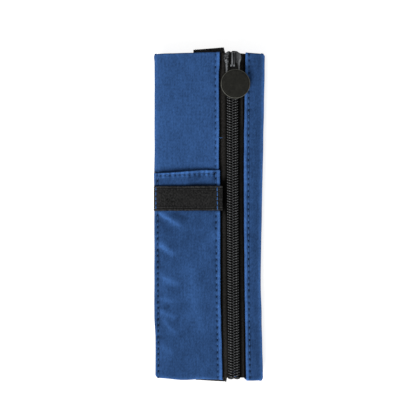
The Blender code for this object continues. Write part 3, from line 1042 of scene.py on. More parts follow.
@dataclass
class SubAssembly:
    """What every sub-assembly shares: the pouch's outline and a way to publish a finished piece."""

    outline: PouchOutline = field(default_factory=PouchOutline)

    def publish(
        self, name: str, bm: BMesh, finish: Finish, body: Body | None, stands_for: Sequence[str] = (),
        slot: str = "",
    ) -> Object:
        """Turn a bmesh into a dressed piece that moves with its body.

        Args:
            name: The piece's name.
            bm: Its mesh in millimetres, which is used up.
            finish: Its finish.
            body: The body that it moves with, or None where it bends between two.
            stands_for: Solids that it is shown in place of.
            slot: Not used.

        Returns:
            The piece.
        """
        bmesh.ops.scale(bm, vec=(MM, MM, MM), verts=bm.verts[:])
        mesh = bpy.data.meshes.new(name)
        bm.to_mesh(mesh)
        bm.free()
        piece = bpy.data.objects.new(name, mesh)
        bpy.context.scene.collection.objects.link(piece)
        mesh.materials.append(finish.make())
        mesh.shade_smooth()
        if body:
            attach(piece, body.value)
        if stands_for:
            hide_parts(*stands_for)
        log.info("%s: %d faces, %s", name, len(mesh.polygons), finish.name)
        return piece

    def thicken(self, piece: Object, thickness: float, offset: float = -1.0) -> None:
        """Give a sheet its thickness.

        Args:
            piece: The sheet.
            thickness: How thick the cloth is.
            offset: -1 grows it inwards from the face that was modelled, 0 both ways.
        """
        wall = piece.modifiers.new("thickness", "SOLIDIFY")
        wall.thickness = thickness * MM
        wall.offset = offset

    def lay_out(
        self, name: str, panel: ClothPanel, finish: Finish, node: str, slot: str, thickness: float,
        held: str = "stretched", rests_on: Sequence[str] = (),
    ) -> None:
        """Make a piece of cloth.

        Args:
            name: The piece's name.
            panel: How it is cut and shaped.
            finish: Its finish.
            node: Solid that it is shown in place of.
            slot: The record's material slot.
            thickness: How thick it is.
            held: Not used.
            rests_on: Not used.
        """
        piece = self.publish(name, panel.build(), finish, Body.POUCH, [node], slot)
        self.thicken(piece, thickness)
        panel.flat_size()

    def soften(self, piece: Object, width: float, segments: int, angle: float) -> None:
        """Round the edges of a hard piece.

        Args:
            piece: The piece.
            width: Width of the rounding.
            segments: Steps across it.
            angle: Edges sharper than this are rounded.
        """
        edge = piece.modifiers.new("rounded_edges", "BEVEL")
        edge.width = width * MM
        edge.segments = segments
        edge.limit_method = "ANGLE"
        edge.angle_limit = radians(angle)
        edge.harden_normals = True

    def settle(self, piece: Object) -> None:
        """Put a piece's modifiers into its mesh, so that it can bend as one."""
        seen = piece.evaluated_get(bpy.context.evaluated_depsgraph_get())
        mesh = bpy.data.meshes.new_from_object(seen)
        mesh.set_sharp_from_angle(angle=radians(50))
        piece.modifiers.clear()
        piece.data = mesh


# The sewn cloth


@dataclass
class PouchCloth(SubAssembly):
    """The cloth that the pouch is sewn from: back, two fronts, slip pocket and three linings."""

    cloth_thickness: float = 0.32
    lining_thickness: float = 0.16
    hem_radius: float = 0.42
    seam_radius: float = 0.7
    zip_lap: float = 4.5
    ridge_height: float = 0.26
    ridge_width: float = 2.2
    # Painted highlight along the outer rolled seam, left panel and right panel.
    edge_painted_light: Point = (0.30, 1.25)
    pocket_top: Point = (21.9, 23.4)
    pocket_rise: float = 0.9
    pocket_lap: float = 3.0
    pocket_overlap: float = 0.5
    pocket_gape: float = 0.75
    loop_low: float = 2.3
    loop_high: float = 15.0
    zip_stitch_left: Point = (3.15, 4.45)
    zip_stitch_right: Point = (20.6, 21.1)
    zip_stitch_ends: Point = (-84.3, 83.6)
    side_stitch_x: float = -26.9
    hem_stitch: Point = (20.6, 21.6)
    creases: tuple[Crease, ...] = (
        Crease((-29.0, 2.9), (-13.5, -6.6), 0.46, 1.35),
        Crease((-28.0, -1.5), (-17.0, -11.5), -0.16, 1.8),
        Crease((-28.0, -13.5), (-17.0, -21.5), 0.34, 1.8),
        Crease((-22.0, 2.4), (-10.0, -2.4), -0.26, 1.6),
        Crease((-27.5, -31.0), (-15.0, -36.5), 0.26, 1.8),
        Crease((-27.5, -42.8), (-18.0, -45.0), 0.24, 1.5),
        Crease((-27.0, -47.0), (-19.0, -47.6), -0.22, 1.3),
        Crease((-27.5, -49.0), (-16.0, -54.0), 0.24, 1.6),
        Crease((-25.5, -52.5), (-16.5, -63.0), 0.20, 1.3),
        Crease((-27.0, -67.5), (-18.0, -72.0), 0.15, 1.8),
        Crease((-14.0, -14.0), (-3.0, -68.0), 0.15, 5.0),
        Crease((3.0, -4.0), (-5.0, -30.0), 0.11, 3.4),
    )

    def zip_row(self, side: Side) -> StitchRow:
        """Topstitch beside the zip."""
        low, high = self.zip_stitch_ends
        left = side is Side.LEFT
        end, start = self.zip_stitch_left if left else self.zip_stitch_right
        # Painted shade in the groove and the needle holes, each side its own share.
        bow, groove_shade, hole_shade = (0.4, 0.15, 0.95) if left else (0.6, 0.40, 0.68)
        return StitchRow(
            (start, low), (end, high), bow=bow, groove_painted_shade=groove_shade, hole_painted_shade=hole_shade, seed=3.0 + side.value
        )

    def side_row(self) -> StitchRow:
        """Topstitch along the pocket's outer edge."""
        return StitchRow(
            (self.side_stitch_x + 0.35, -84.2), (self.side_stitch_x - 0.2, self.pocket_top[0] - 0.9),
            pitch=3.0, groove_depth=0.45, groove_width=0.50, hole_depth=0.30, hole_length=0.85,
            hole_slant=0.35, pucker=0.30, pucker_reach=2.8, puff=0.14, swell_painted_light=0.8, groove_painted_shade=0.58,
            hole_painted_shade=0.38, seed=11.0,
        )

    def hem_row(self) -> StitchRow:
        """Stitching along the pocket's hem."""
        return StitchRow(
            (-25.4, self.hem_stitch[0]), (2.4, self.hem_stitch[1]), pitch=2.5, groove_depth=0.16,
            pucker=0.26, pucker_reach=1.6, puff=0.30, swell_painted_light=2.8, hole_length=0.45, hole_width=0.36,
            hole_slant=-0.5, hole_painted_shade=0.8, seed=17.0,
        )

    def pocket_mouth(self, x: float) -> float:
        """Top edge of the pocket, a little higher at the zip and puffed between its stitches."""
        share = clamp((x + 25) / 24)
        height = between(*self.pocket_top, (share + ease(share)) / 2)
        return height + 0.14 * drift(x, 0, 2.6, 2.2)

    def ridge(self, off: float, inner: float) -> Point:
        """Height that the puffed strip adds, inside a folded edge as far as the topstitch, and a painted
        highlight along it.
        """
        swell = bell(off - 0.42 * inner, 0.42 * inner)
        return self.ridge_height * swell, 0.72 * bell(off - 0.30 * inner, 0.45 * inner)

    def front_relief(self, x: float, y: float) -> Point:
        """Puckers, ridges and the slow drift of the front panels, with their painted light and shade.

        Args:
            x: Place across.
            y: Place along.

        Returns:
            Height and tone to add.
        """
        side = Side.LEFT if x < self.outline.zip_x(y) else Side.RIGHT
        height = 0.20 * drift(x, y, 17, 0.7) + 0.08 * drift(x, y, 6, 8.1)
        if side is Side.LEFT:
            off = self.outline.left_gap(y) - x
            covered = ease((self.pocket_top[0] - 0.5 - y) / 3)
            outer = x + self.outline.left_reach
        else:
            off = x - self.outline.right_gap(y)
            covered = 0.0
            outer = self.outline.right_edge(y) - x
        pressed, dark = self.zip_row(side).press(x, y)
        swell, light = self.ridge(off, self.ridge_width)
        height = (height + pressed + swell) * (1 - 0.8 * covered)
        # Painted highlight along the rolled outer seam and the two end seams.
        glow = self.edge_painted_light[side is Side.RIGHT] * bell(outer, 1.5)
        glow += 0.45 * bell(y - self.outline.bottom_edge(x), 1.2)
        glow += 0.20 * bell(self.outline.top_edge(x) - y, 1.2)
        tone = 0.10 * drift(x, y, 17, 0.7) + 0.12 * drift(x, y, 5, 5.5)
        # The right panel gets painted shade all over; dark is the stitches' painted shade, light the ridge's
        # painted highlight and glow the painted highlight along the seams.
        if side is Side.RIGHT:
            return height, tone - 0.17 + dark + light + glow
        # Painted shadow on the left front just above the pocket's mouth, widest towards the left.
        above = max(0.0, y - self.pocket_mouth(x))
        deep = 1.0 + 1.5 * bell(x + 21, 6)
        contact_shadow = 0.72 * bell(above, deep)
        return height, tone + dark + light + glow - contact_shadow

    def back_relief(self, x: float, y: float) -> Point:
        """Slow drift of the back panel and small puckers along its seams, with a painted highlight along the
        seams.

        Args:
            x: Place across.
            y: Place along.

        Returns:
            Height and tone to add.
        """
        near_end = min(self.outline.top_edge(x) - y, y - self.outline.bottom_edge(x))
        near_side = min(x + self.outline.left_reach, self.outline.right_edge(y) - x)
        height = 0.14 * drift(x, y, 19, 6.3)
        height += 0.10 * drift(x, 0, 3.1, 2.9) * exp(-near_end / 3)
        height += 0.10 * drift(0, y, 3.6, 5.9) * exp(-near_side / 3)
        # The tone is a painted highlight along the seams.
        return min(height, 0.0), 0.2 * bell(min(near_end, near_side), 0.9)

    def pocket_relief(self, x: float, y: float) -> Point:
        """Folds, puckers and stitched hem of the slip pocket, with their painted light and shade.

        Args:
            x: Place across.
            y: Place along.

        Returns:
            Height and tone to add.
        """
        height = 0.28 * drift(x, y, 13, 4.7) + 0.10 * drift(x, y, 5, 1.9)
        folds = sum(crease.rise(x, y) for crease in self.creases)
        height += folds
        below = self.pocket_mouth(x) - y
        hem = ease((3.0 - below) / 0.5)
        gape = bell(x + 13, 9) * exp(-below / 6)
        height += 0.12 * hem + self.pocket_gape * gape
        # Crease crests are drawn lighter and hollows darker, as painted highlight and painted shade, and the
        # whole pocket is a little darker as painted shade; the drift is random unevenness.
        tone = (1.9 if folds > 0 else 1.0) * folds + 0.16 * drift(x, y, 5, 1.9) - 0.24
        for row in (self.zip_row(Side.LEFT), self.side_row(), self.hem_row()):
            pressed, dark = row.press(x, y)
            height += pressed
            tone += dark
        off = self.outline.left_gap(y) + self.pocket_overlap - x
        swell, light = self.ridge(off, self.ridge_width + 0.2)
        outer = x - self.outline.left_edge(y)
        swell += 0.10 * bell(outer - 0.9, 0.7)
        end = y - self.outline.bottom_edge(x)
        # Painted highlights along the ridge by the zip, the outer seam and the bottom seam.
        light = 1.12 * light + 0.38 * bell(outer, 1.2)
        light += 0.45 * bell(end, 1.2)
        rolled = bell(below - 0.7, 0.8)
        # Painted highlight on the rolled hem.
        light += (0.26 * hem + 0.62 * rolled) * (1 - light)
        middle = (self.loop_low + self.loop_high) / 2
        half = (self.loop_high - self.loop_low) / 2
        under = ease((half + 0.8 - abs(y - middle)) / 1.2)
        height = (height + swell) * (1 - under) - 0.10 * under
        # Painted shadow on the pocket just above the pen loop, deepest near the zip.
        deep = 0.55 + 1.2 * bell(x + 4, 6)
        contact_shadow = bell(y - self.loop_high, deep)
        return height, tone + light - 0.75 * contact_shadow

    def pocket_level(self, x: float, y: float) -> float:
        """Upper face of the pocket without its relief."""
        return self.outline.front_level(x, y) + self.pocket_rise

    def fronts(self) -> dict[Side, ClothPanel]:
        """The two front panels, each hemmed along the zip and rolled to its other seams."""
        seam = EdgeTurn(self.seam_radius, -65.0, 50.0)
        end = EdgeTurn(self.seam_radius, -50.0, 90.0)
        hem = EdgeTurn(self.hem_radius, -90.0, 90.0, self.zip_lap, 6, 5)
        shape = self.outline
        return {
            Side.LEFT: ClothPanel(
                (shape.left_edge, shape.left_gap), (shape.bottom_edge, shape.top_edge),
                (seam, hem, end, end), shape.front_level, self.front_relief, fine_across=(0.95,),
            ),
            Side.RIGHT: ClothPanel(
                (shape.right_gap, shape.right_edge), (shape.bottom_edge, shape.top_edge),
                (hem, seam, end, end), shape.front_level, self.front_relief, fine_across=(0.18,),
            ),
        }

    def pocket(self) -> ClothPanel:
        """The slip pocket over the lower part of the left front."""
        seam = EdgeTurn(self.seam_radius, -35.0, 50.0)
        end = EdgeTurn(self.seam_radius, -50.0, 90.0)
        hem = EdgeTurn(self.hem_radius, -90.0, 90.0, self.pocket_lap, 6, 4)
        fold = EdgeTurn(self.hem_radius, -60.0, 90.0, 0.0, 5, 0)
        shape = self.outline
        return ClothPanel(
            (lambda y: shape.left_edge(y) - 0.12, lambda y: shape.left_gap(y) + self.pocket_overlap),
            (lambda x: shape.bottom_edge(x) - 0.15, self.pocket_mouth), (seam, fold, end, hem),
            self.pocket_level, self.pocket_relief, fine_across=(0.03, 0.94), fine_along=(0.98,),
        )

    def back(self) -> ClothPanel:
        """The back panel, a little short at the zip so that it stays hidden behind the tapes."""
        seam = EdgeTurn(self.seam_radius, -65.0, 50.0)
        end = EdgeTurn(self.seam_radius, -60.0, 80.0)
        shape = self.outline

        def notch(x: float) -> float:
            """How far the end is drawn in at the zip."""
            return 1.1 * bell(x - shape.zip_x_top, 6.5, 4)

        return ClothPanel(
            (shape.left_edge, shape.right_edge),
            (lambda x: shape.bottom_edge(x) + notch(x), lambda x: shape.top_edge(x) - notch(x)),
            (seam, seam, end, end), shape.back_level, self.back_relief, facing=-1, cell=0.85,
        )

    def linings(self) -> dict[str, ClothPanel]:
        """The three linings, each just inside its outer panel."""
        shape = self.outline
        cut = EdgeTurn(0.1, 0.0, 90.0, 0.0, 1, 0)
        inset, end_inset = 1.8, 4.0
        left_open, right_open = 7.8, 7.2

        def left(y: float) -> float:
            """Left edge of the linings."""
            return inset - shape.left_reach

        def right(y: float) -> float:
            """Right edge of the linings."""
            return shape.right_edge(y) - inset

        def slack(x: float, y: float) -> Point:
            """Loose ripples of the lining."""
            return 0.05 * drift(x, y, 8, 2.4), 0.0

        def under_tape(x: float, y: float) -> float:
            """Face of the front linings that looks into the pouch."""
            near = min(x + shape.left_reach, shape.right_edge(y) - x)
            tuck = shape.rounded(near, shape.side_margin / 2)
            base = shape.front_level(x, y) - shape.outer_fabric
            return base - between(0.3, 1.1, tuck) - 0.2

        ends = (lambda x: shape.bottom_edge(x) + end_inset, lambda x: shape.top_edge(x) - end_inset)
        turned = EdgeTurn(0.15, -90.0, 90.0, 4.4, 4, 3)
        return {
            "back_lining": ClothPanel(
                (left, right), ends, (cut, cut, cut, cut), lambda x, y: shape.back_top(x, y) + 0.5, slack,
                cell=2.0,
            ),
            "front_left_lining": ClothPanel(
                (left, lambda y: shape.zip_x(y) - left_open), ends, (cut, turned, cut, cut),
                under_tape, slack, facing=-1, cell=2.0,
            ),
            "front_right_lining": ClothPanel(
                (lambda y: shape.zip_x(y) + right_open, right), ends, (turned, cut, cut, cut),
                under_tape, slack, facing=-1, cell=2.0,
            ),
        }

    def build(self) -> None:
        """Make every piece of cloth."""
        for side, panel in self.fronts().items():
            name = f"front_{side.word}_panel"
            self.lay_out(f"{name}_cloth", panel, TWILL, name, "cloth", self.cloth_thickness)
        self.lay_out("back_cloth", self.back(), TWILL, "back_panel", "cloth", self.cloth_thickness)
        self.lay_out(
            "pocket_cloth", self.pocket(), TWILL, "slip_pocket", "cloth", self.cloth_thickness,
            rests_on=["front_left_panel_cloth"],
        )
        for name, panel in self.linings().items():
            rests_on = ["back_cloth"] if name == "back_lining" else []
            self.lay_out(
                f"{name}_cloth", panel, LINING, name, "lining", self.lining_thickness, "laid", rests_on
            )


@dataclass
class Stitching(SubAssembly):
    """Rows of topstitching: each stitch rises out of one needle hole and dives into the next."""

    cloth: PouchCloth = field(default_factory=PouchCloth)
    thread_radius: float = 0.17
    thread_lift: float = 0.16
    gap: float = 0.13
    sides: int = 5

    def stitch(self, bm: BMesh, start: Vector, end: Vector, level: Level, lift: float) -> None:
        """Add one stitch.

        Args:
            bm: The mesh of the row.
            start: Hole that it comes out of.
            end: Hole that it goes into.
            level: Height of the cloth.
            lift: How far its middle stands above the cloth.
        """
        run = end - start
        path = []
        for spread, rise in ((-1.0, -1.4), (-0.8, 0.25), (0.0, 1.0), (0.8, 0.25), (1.0, -1.4)):
            share = 0.5 + spread * (0.5 - self.gap)
            x, y = start + run * share
            base = between(level(*start), level(*end), share) if rise < 0 else level(x, y)
            path.append(Vector((x, y, base + rise * lift)))
        across = Vector((-run.y, run.x, 0.0))
        radii = [
            (self.thread_radius * 1.15 * size, self.thread_radius * size)
            for size in (0.6, 0.9, 1.0, 0.9, 0.6)
        ]
        sweep(bm, path, radii, self.sides, across)

    def row(
        self, name: str, row: StitchRow, level: Level, skip: Callable[[float, float], bool] | None = None
    ) -> None:
        """Make a whole row.

        Args:
            name: The row's piece name.
            row: Where its holes are.
            level: Height of the cloth under it.
            skip: Says where no stitch is made.
        """
        bm = bmesh.new()
        for index in range(row.count):
            start, end = row.hole(index), row.hole(index + 1)
            middle = (start + end) / 2
            if skip and skip(middle.x, middle.y):
                continue
            self.stitch(bm, start, end, level, self.thread_lift)
        face_out(bm)
        self.publish(name, bm, BLUE_THREAD, Body.POUCH)

    def tail(self, level: Level) -> None:
        """Leave one loose thread end over the edge of the left front, as the sewer did.

        Args:
            level: Height of the front panels.
        """
        bm = bmesh.new()
        path = []
        for step in range(7):
            share = step / 6
            x = between(4.2, 6.7, share)
            y = 40.3 + 0.25 * sin(2.2 * pi * share)
            z = level(min(x, 4.6), y) + (0.12 + 0.35 * share - 0.5 * share * share)
            path.append(Vector((x, y, z)))
        sweep(bm, path, [(0.15, 0.15)] * len(path), self.sides, Vector((0, 1, 0)))
        face_out(bm)
        self.publish("thread_tail", bm, BLUE_THREAD, Body.POUCH)

    def build(self) -> None:
        """Make every row on the pouch's cloth."""
        cloth, shape = self.cloth, self.outline

        def front(x: float, y: float) -> float:
            """Face of the front panels."""
            return shape.front_level(x, y) + cloth.front_relief(x, y)[0]

        def pocket(x: float, y: float) -> float:
            """Face of the pocket."""
            return cloth.pocket_level(x, y) + cloth.pocket_relief(x, y)[0]

        def under_loop(x: float, y: float) -> bool:
            """Whether the pen loop covers this place."""
            return cloth.loop_low - 1.0 < y < cloth.loop_high + 1.0

        def on_pocket(x: float, y: float) -> bool:
            """Whether the pocket covers this place of the left front."""
            return y < mouth + 0.5

        def off_pocket(x: float, y: float) -> bool:
            """Whether the pocket shows no stitch here."""
            return y > mouth - 1.0 or under_loop(x, y)

        left, mouth = cloth.zip_row(Side.LEFT), cloth.pocket_mouth(0.0)
        self.tail(front)
        self.row("topstitch_left_upper", left, front, on_pocket)
        self.row("topstitch_left_pocket", left, pocket, off_pocket)
        self.row("topstitch_right", cloth.zip_row(Side.RIGHT), front)
        self.row("topstitch_pocket_side", cloth.side_row(), pocket, under_loop)
        self.row("topstitch_pocket_hem", cloth.hem_row(), pocket)


# The zip


@dataclass
class ZipChain(SubAssembly):
    """Two woven tapes and the coils sewn to them."""

    half_width: float = 3.2
    head_overlap: float = 0.45
    wire_radius: float = 0.30
    coil_low: float = 8.2
    coil_high: float = 9.9
    pitch: float = 1.38
    slant: float = 0.85
    squareness: float = 0.78
    top: float = 84.6
    bottom: float = -85.3
    teeth_top: float = 81.6
    tape_top: float = 7.95
    tape_thickness: float = 0.45
    tape_reach: float = 11.5
    tape_inner: float = 1.3
    tape_low: float = -84.7
    tape_high: float = 84.3
    bend: float = 0.26
    thread_radius: float = 0.19
    thread_offset: float = 2.12

    @property
    def placed(self) -> Matrix:
        """The zip's own line: its middle, leaning a little across the pouch."""
        shape = self.outline
        lean = atan((shape.zip_x_bottom - shape.zip_x_top) / shape.length)
        middle = between(shape.zip_x_bottom, shape.zip_x_top, shape.bottom_reach / shape.length)
        return Matrix.Translation((middle, 0, 0)) @ Matrix.Rotation(lean, 4, "Z")

    def lay(self, bm: BMesh) -> None:
        """Put a piece of the chain in its place on the pouch, bowed a little as the sewn zip is.

        Args:
            bm: The piece, along the Y axis.
        """
        bmesh.ops.transform(bm, matrix=self.placed, verts=bm.verts[:])
        for vert in bm.verts:
            vert.co.x -= self.bend * max(0.0, 1 - (vert.co.y / 74) ** 2)
        face_out(bm)

    def first_turn(self, side: Side) -> float:
        """Where a coil's first turn lies: the two coils are half a turn apart."""
        return self.bottom + self.pitch * (0.6 if side is Side.LEFT else 1.1)

    def turn_path(self, side: Side) -> tuple[list[Vector], list[Point]]:
        """One turn of a coil, from its outer bend over the head and back.

        Args:
            side: The coil's side of the zip.

        Returns:
            The turn's points about y = 0, and the wire's half widths at each.
        """
        inner = -self.head_overlap + self.wire_radius
        outer = self.half_width - self.wire_radius
        middle, reach = (inner + outer) / 2, (outer - inner) / 2
        low, high = self.coil_low + self.wire_radius, self.coil_high - self.wire_radius
        centre, rise = (low + high) / 2, (high - low) / 2
        points, radii = [], []
        for angle in (-20, 20, 52, 78, 105, 135, 162, 182, 215, 300):
            turn = radians(angle)
            flat_x = copysign(abs(cos(turn)) ** self.squareness, cos(turn))
            flat_z = copysign(abs(sin(turn)) ** self.squareness, sin(turn))
            shift = clamp((angle + 20) / 360)
            outward = self.slant * (1 - clamp(shift / 0.42))
            along = self.pitch * (outward + (1 + self.slant) * ease((shift - 0.72) / 0.28))
            x = middle + reach * flat_x
            points.append(Vector((side.value * x, along, centre + rise * flat_z)))
            head = bell(angle - 180, 26)
            radii.append((self.wire_radius * (1 + 0.10 * head), self.wire_radius * (1 - 0.08 * head)))
        return points, radii

    def coil(self, side: Side) -> BMesh:
        """Wind one coil of the chain.

        Args:
            side: The coil's side of the zip.

        Returns:
            The coil.
        """
        bm = bmesh.new()
        points, radii = self.turn_path(side)
        last = points[0] + Vector((0, self.pitch, 0))
        verts = sweep(bm, [*points, last], [*radii, radii[0]], 6, Vector((0, 1, 0)), capped=False)
        start = self.first_turn(side)
        bmesh.ops.translate(bm, vec=(0, start, 0), verts=verts)
        count = int((self.teeth_top - start) / self.pitch)
        source = bm.verts[:] + bm.edges[:] + bm.faces[:]
        for index in range(1, count):
            made = bmesh.ops.duplicate(bm, geom=source)["geom"]
            verts = only(BMVert, made)
            bmesh.ops.translate(bm, vec=(0, self.pitch * index, 0), verts=verts)
        bmesh.ops.remove_doubles(bm, verts=bm.verts[:], dist=0.12)
        holes = [edge for edge in bm.edges if edge.is_boundary]
        bmesh.ops.holes_fill(bm, edges=holes, sides=8)
        tone = bm.verts.layers.float.new(TONE)
        for vert in bm.verts:
            x, y = vert.co.x * side.value, vert.co.y
            near_slider = ease((y - 77.5) / 3.5)
            near_end = ease((self.bottom + 2.2 - y) / 2.0)
            keep = 1 - 0.44 * near_slider
            x = self.half_width - (self.half_width - x) * keep - 0.5 * near_end * ease(x / self.half_width)
            vert.co.x = x * side.value
            index = floor((y - start) / self.pitch)
            vary = 0.35 * noise.noise(Vector((index * 3.3, side.value * 5.0, 0.3)))
            # Painted light on the coil: the top of each turn is drawn much lighter and its lower part
            # darker, the head tips light and the inside of the coil dark, as painted highlight and painted
            # shade.
            raised = ease((vert.co.z - self.coil_high + 0.40) / 0.34)
            inside = ease((1.42 - x) / 0.4)
            tip = 2.8 if x < 0.14 else -1.3
            wire_painted_light = between(-1.4, 4.0 + vary, raised)
            vert[tone] = between(wire_painted_light, min(wire_painted_light, tip), inside)
        self.melt_end(bm, side)
        self.lay(bm)
        return bm

    def melt_end(self, bm: BMesh, side: Side) -> None:
        """Close the bottom of a coil with the lump that the hot cut leaves.

        Args:
            bm: The coil.
            side: The coil's side of the zip.
        """
        reach, height = 0.52 * self.half_width, 0.42 * (self.coil_high - self.coil_low)
        middle = (self.coil_low + self.coil_high) / 2
        place = Matrix.Translation((side.value * reach * 0.94, self.bottom + 0.55, middle))
        size = Matrix.Diagonal((reach, 0.75, height, 1.0))
        made = bmesh.ops.create_uvsphere(bm, u_segments=20, v_segments=10, radius=1.0, matrix=place @ size)
        tone = bm.verts.layers.float[TONE]
        for vert in made["verts"]:
            vert[tone] = -0.25 + 0.5 * noise.noise(vert.co * 0.9)

    def wavy_row(self, side: Side) -> BMesh:
        """The sewing thread that holds a coil to its tape, dipping between the turns.

        Args:
            side: The coil's side of the zip.

        Returns:
            The thread.
        """
        bm = bmesh.new()
        start = self.first_turn(side) - 0.2
        count = int((self.top - 2.8 - start) / self.pitch)
        path = []
        for index in range(count * 3):
            share = index / 3
            crest = cos(tau * (share + 0.18))
            z = self.coil_high + 0.02 - 0.20 * (1 - crest) * 0.5
            x = self.thread_offset + 0.08 * sin(tau * share)
            path.append(Vector((side.value * x, start + share * self.pitch, z)))
        radii = [(1.5 * self.thread_radius, 0.7 * self.thread_radius)] * len(path)
        sweep(bm, path, radii, 5, Vector((1, 0, 0)))
        self.lay(bm)
        return bm

    def filler(self, side: Side) -> BMesh:
        """The cord inside one coil, twisted from three strands.

        Args:
            side: The coil's side of the zip.

        Returns:
            The cord.
        """
        bm = bmesh.new()
        middle, level = self.half_width - 0.95, (self.coil_low + self.coil_high) / 2
        strands, turns, steps, reach, radius = 3, 30, 120, 0.11, 0.13
        for strand in range(strands):
            path = []
            for step in range(steps + 1):
                share = step / steps
                turn = tau * (share * turns + strand / strands)
                x = side.value * middle + reach * cos(turn)
                y = between(self.bottom + 0.3, self.top - 0.2, share)
                path.append(Vector((x, y, level + reach * sin(turn))))
            sweep(bm, path, [(radius, radius)] * len(path), 5, Vector((1, 0, 0)))
        self.lay(bm)
        return bm

    def tape(self, side: Side) -> ClothPanel:
        """One zip tape, raised a little along the edge that carries its coil.

        Args:
            side: The tape's side of the zip.

        Returns:
            The tape.
        """
        shape = self.outline
        cut = EdgeTurn(0.12, 0.0, 90.0, 0.0, 2, 0)
        left, right = sorted(side.value * reach for reach in (self.tape_inner, self.tape_reach))

        def relief(x: float, y: float) -> Point:
            """Bead along the coil's edge and the tape's slow waves, with painted light and shade."""
            off = abs(x - shape.zip_x(y))
            bead = 0.15 * ease((4.4 - off) / 1.2)
            cords = 0.05 * cos(tau * off / 1.7)
            wave = 0.10 * drift(0, y, 9, side.value * 3.0) * ease((off - 3) / 3)
            if side is Side.LEFT:
                # Painted light: the left tape is drawn lighter than the right, more so towards the bottom,
                # with painted shadow beside the pen loop.
                light = 1.25 + 1.3 * ease((-45 - y) / 30)
                light -= 2.2 * bell(y - 10, 9, 6)
                gap = x - shape.left_gap(y) - 0.45 * ease((40 - y) / 30)
            else:
                # On the right tape, a painted highlight along a band near the panel.
                light = 0.8 * bell(off - 4.7, 0.5) + 0.6
                gap = shape.right_gap(y) - x
            # Painted shadow along the folded panel edge, and painted shade beside and under the coil (seam
            # here names that shade).
            edge = -2.2 * ease((1.4 - gap) / 0.7)
            seam = -1.3 * bell(off - 3.85, 0.5)
            seam -= 2.2 * ease((3.6 - off) / 0.4)
            return bead + cords + wave, light + edge + seam + 0.25 * drift(x, y, 2, 6.6)

        def level(x: float, y: float) -> float:
            """Upper face of the tape."""
            return self.tape_top - shape.side_drop * (1 - shape.side_share(x, y))

        return ClothPanel(
            (lambda y: shape.zip_x(y) + left, lambda y: shape.zip_x(y) + right),
            (
                lambda x: max(self.tape_low, shape.bottom_edge(x) + 0.5),
                lambda x: min(self.tape_high, shape.top_edge(x) - 0.5),
            ),
            (cut, cut, cut, cut), level, relief, cell=0.7,
        )

    def build(self) -> None:
        """Make both tapes, coils, cords and sewing threads."""
        for side in Side:
            word = side.word
            tape, coil = f"zip_tape_{word}", f"zip_coil_{word}"
            self.lay_out(f"{tape}_woven", self.tape(side), TAPE, tape, "zip_tape", self.tape_thickness)
            wound = self.publish(f"{coil}_wound", self.coil(side), COIL, Body.POUCH, [coil], "nylon_coil")
            self.publish(
                f"filler_cord_{word}", self.filler(side), FILLER, Body.POUCH, [f"coil_core_{word}"],
                "filler_cord",
            )
            thread = self.publish(f"coil_stitching_{word}", self.wavy_row(side), BLACK_THREAD, Body.POUCH)
            outer = self.placed @ Vector((side.value * self.half_width, 0, 0)) * MM
            for part in (wound, thread):
                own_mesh(part)


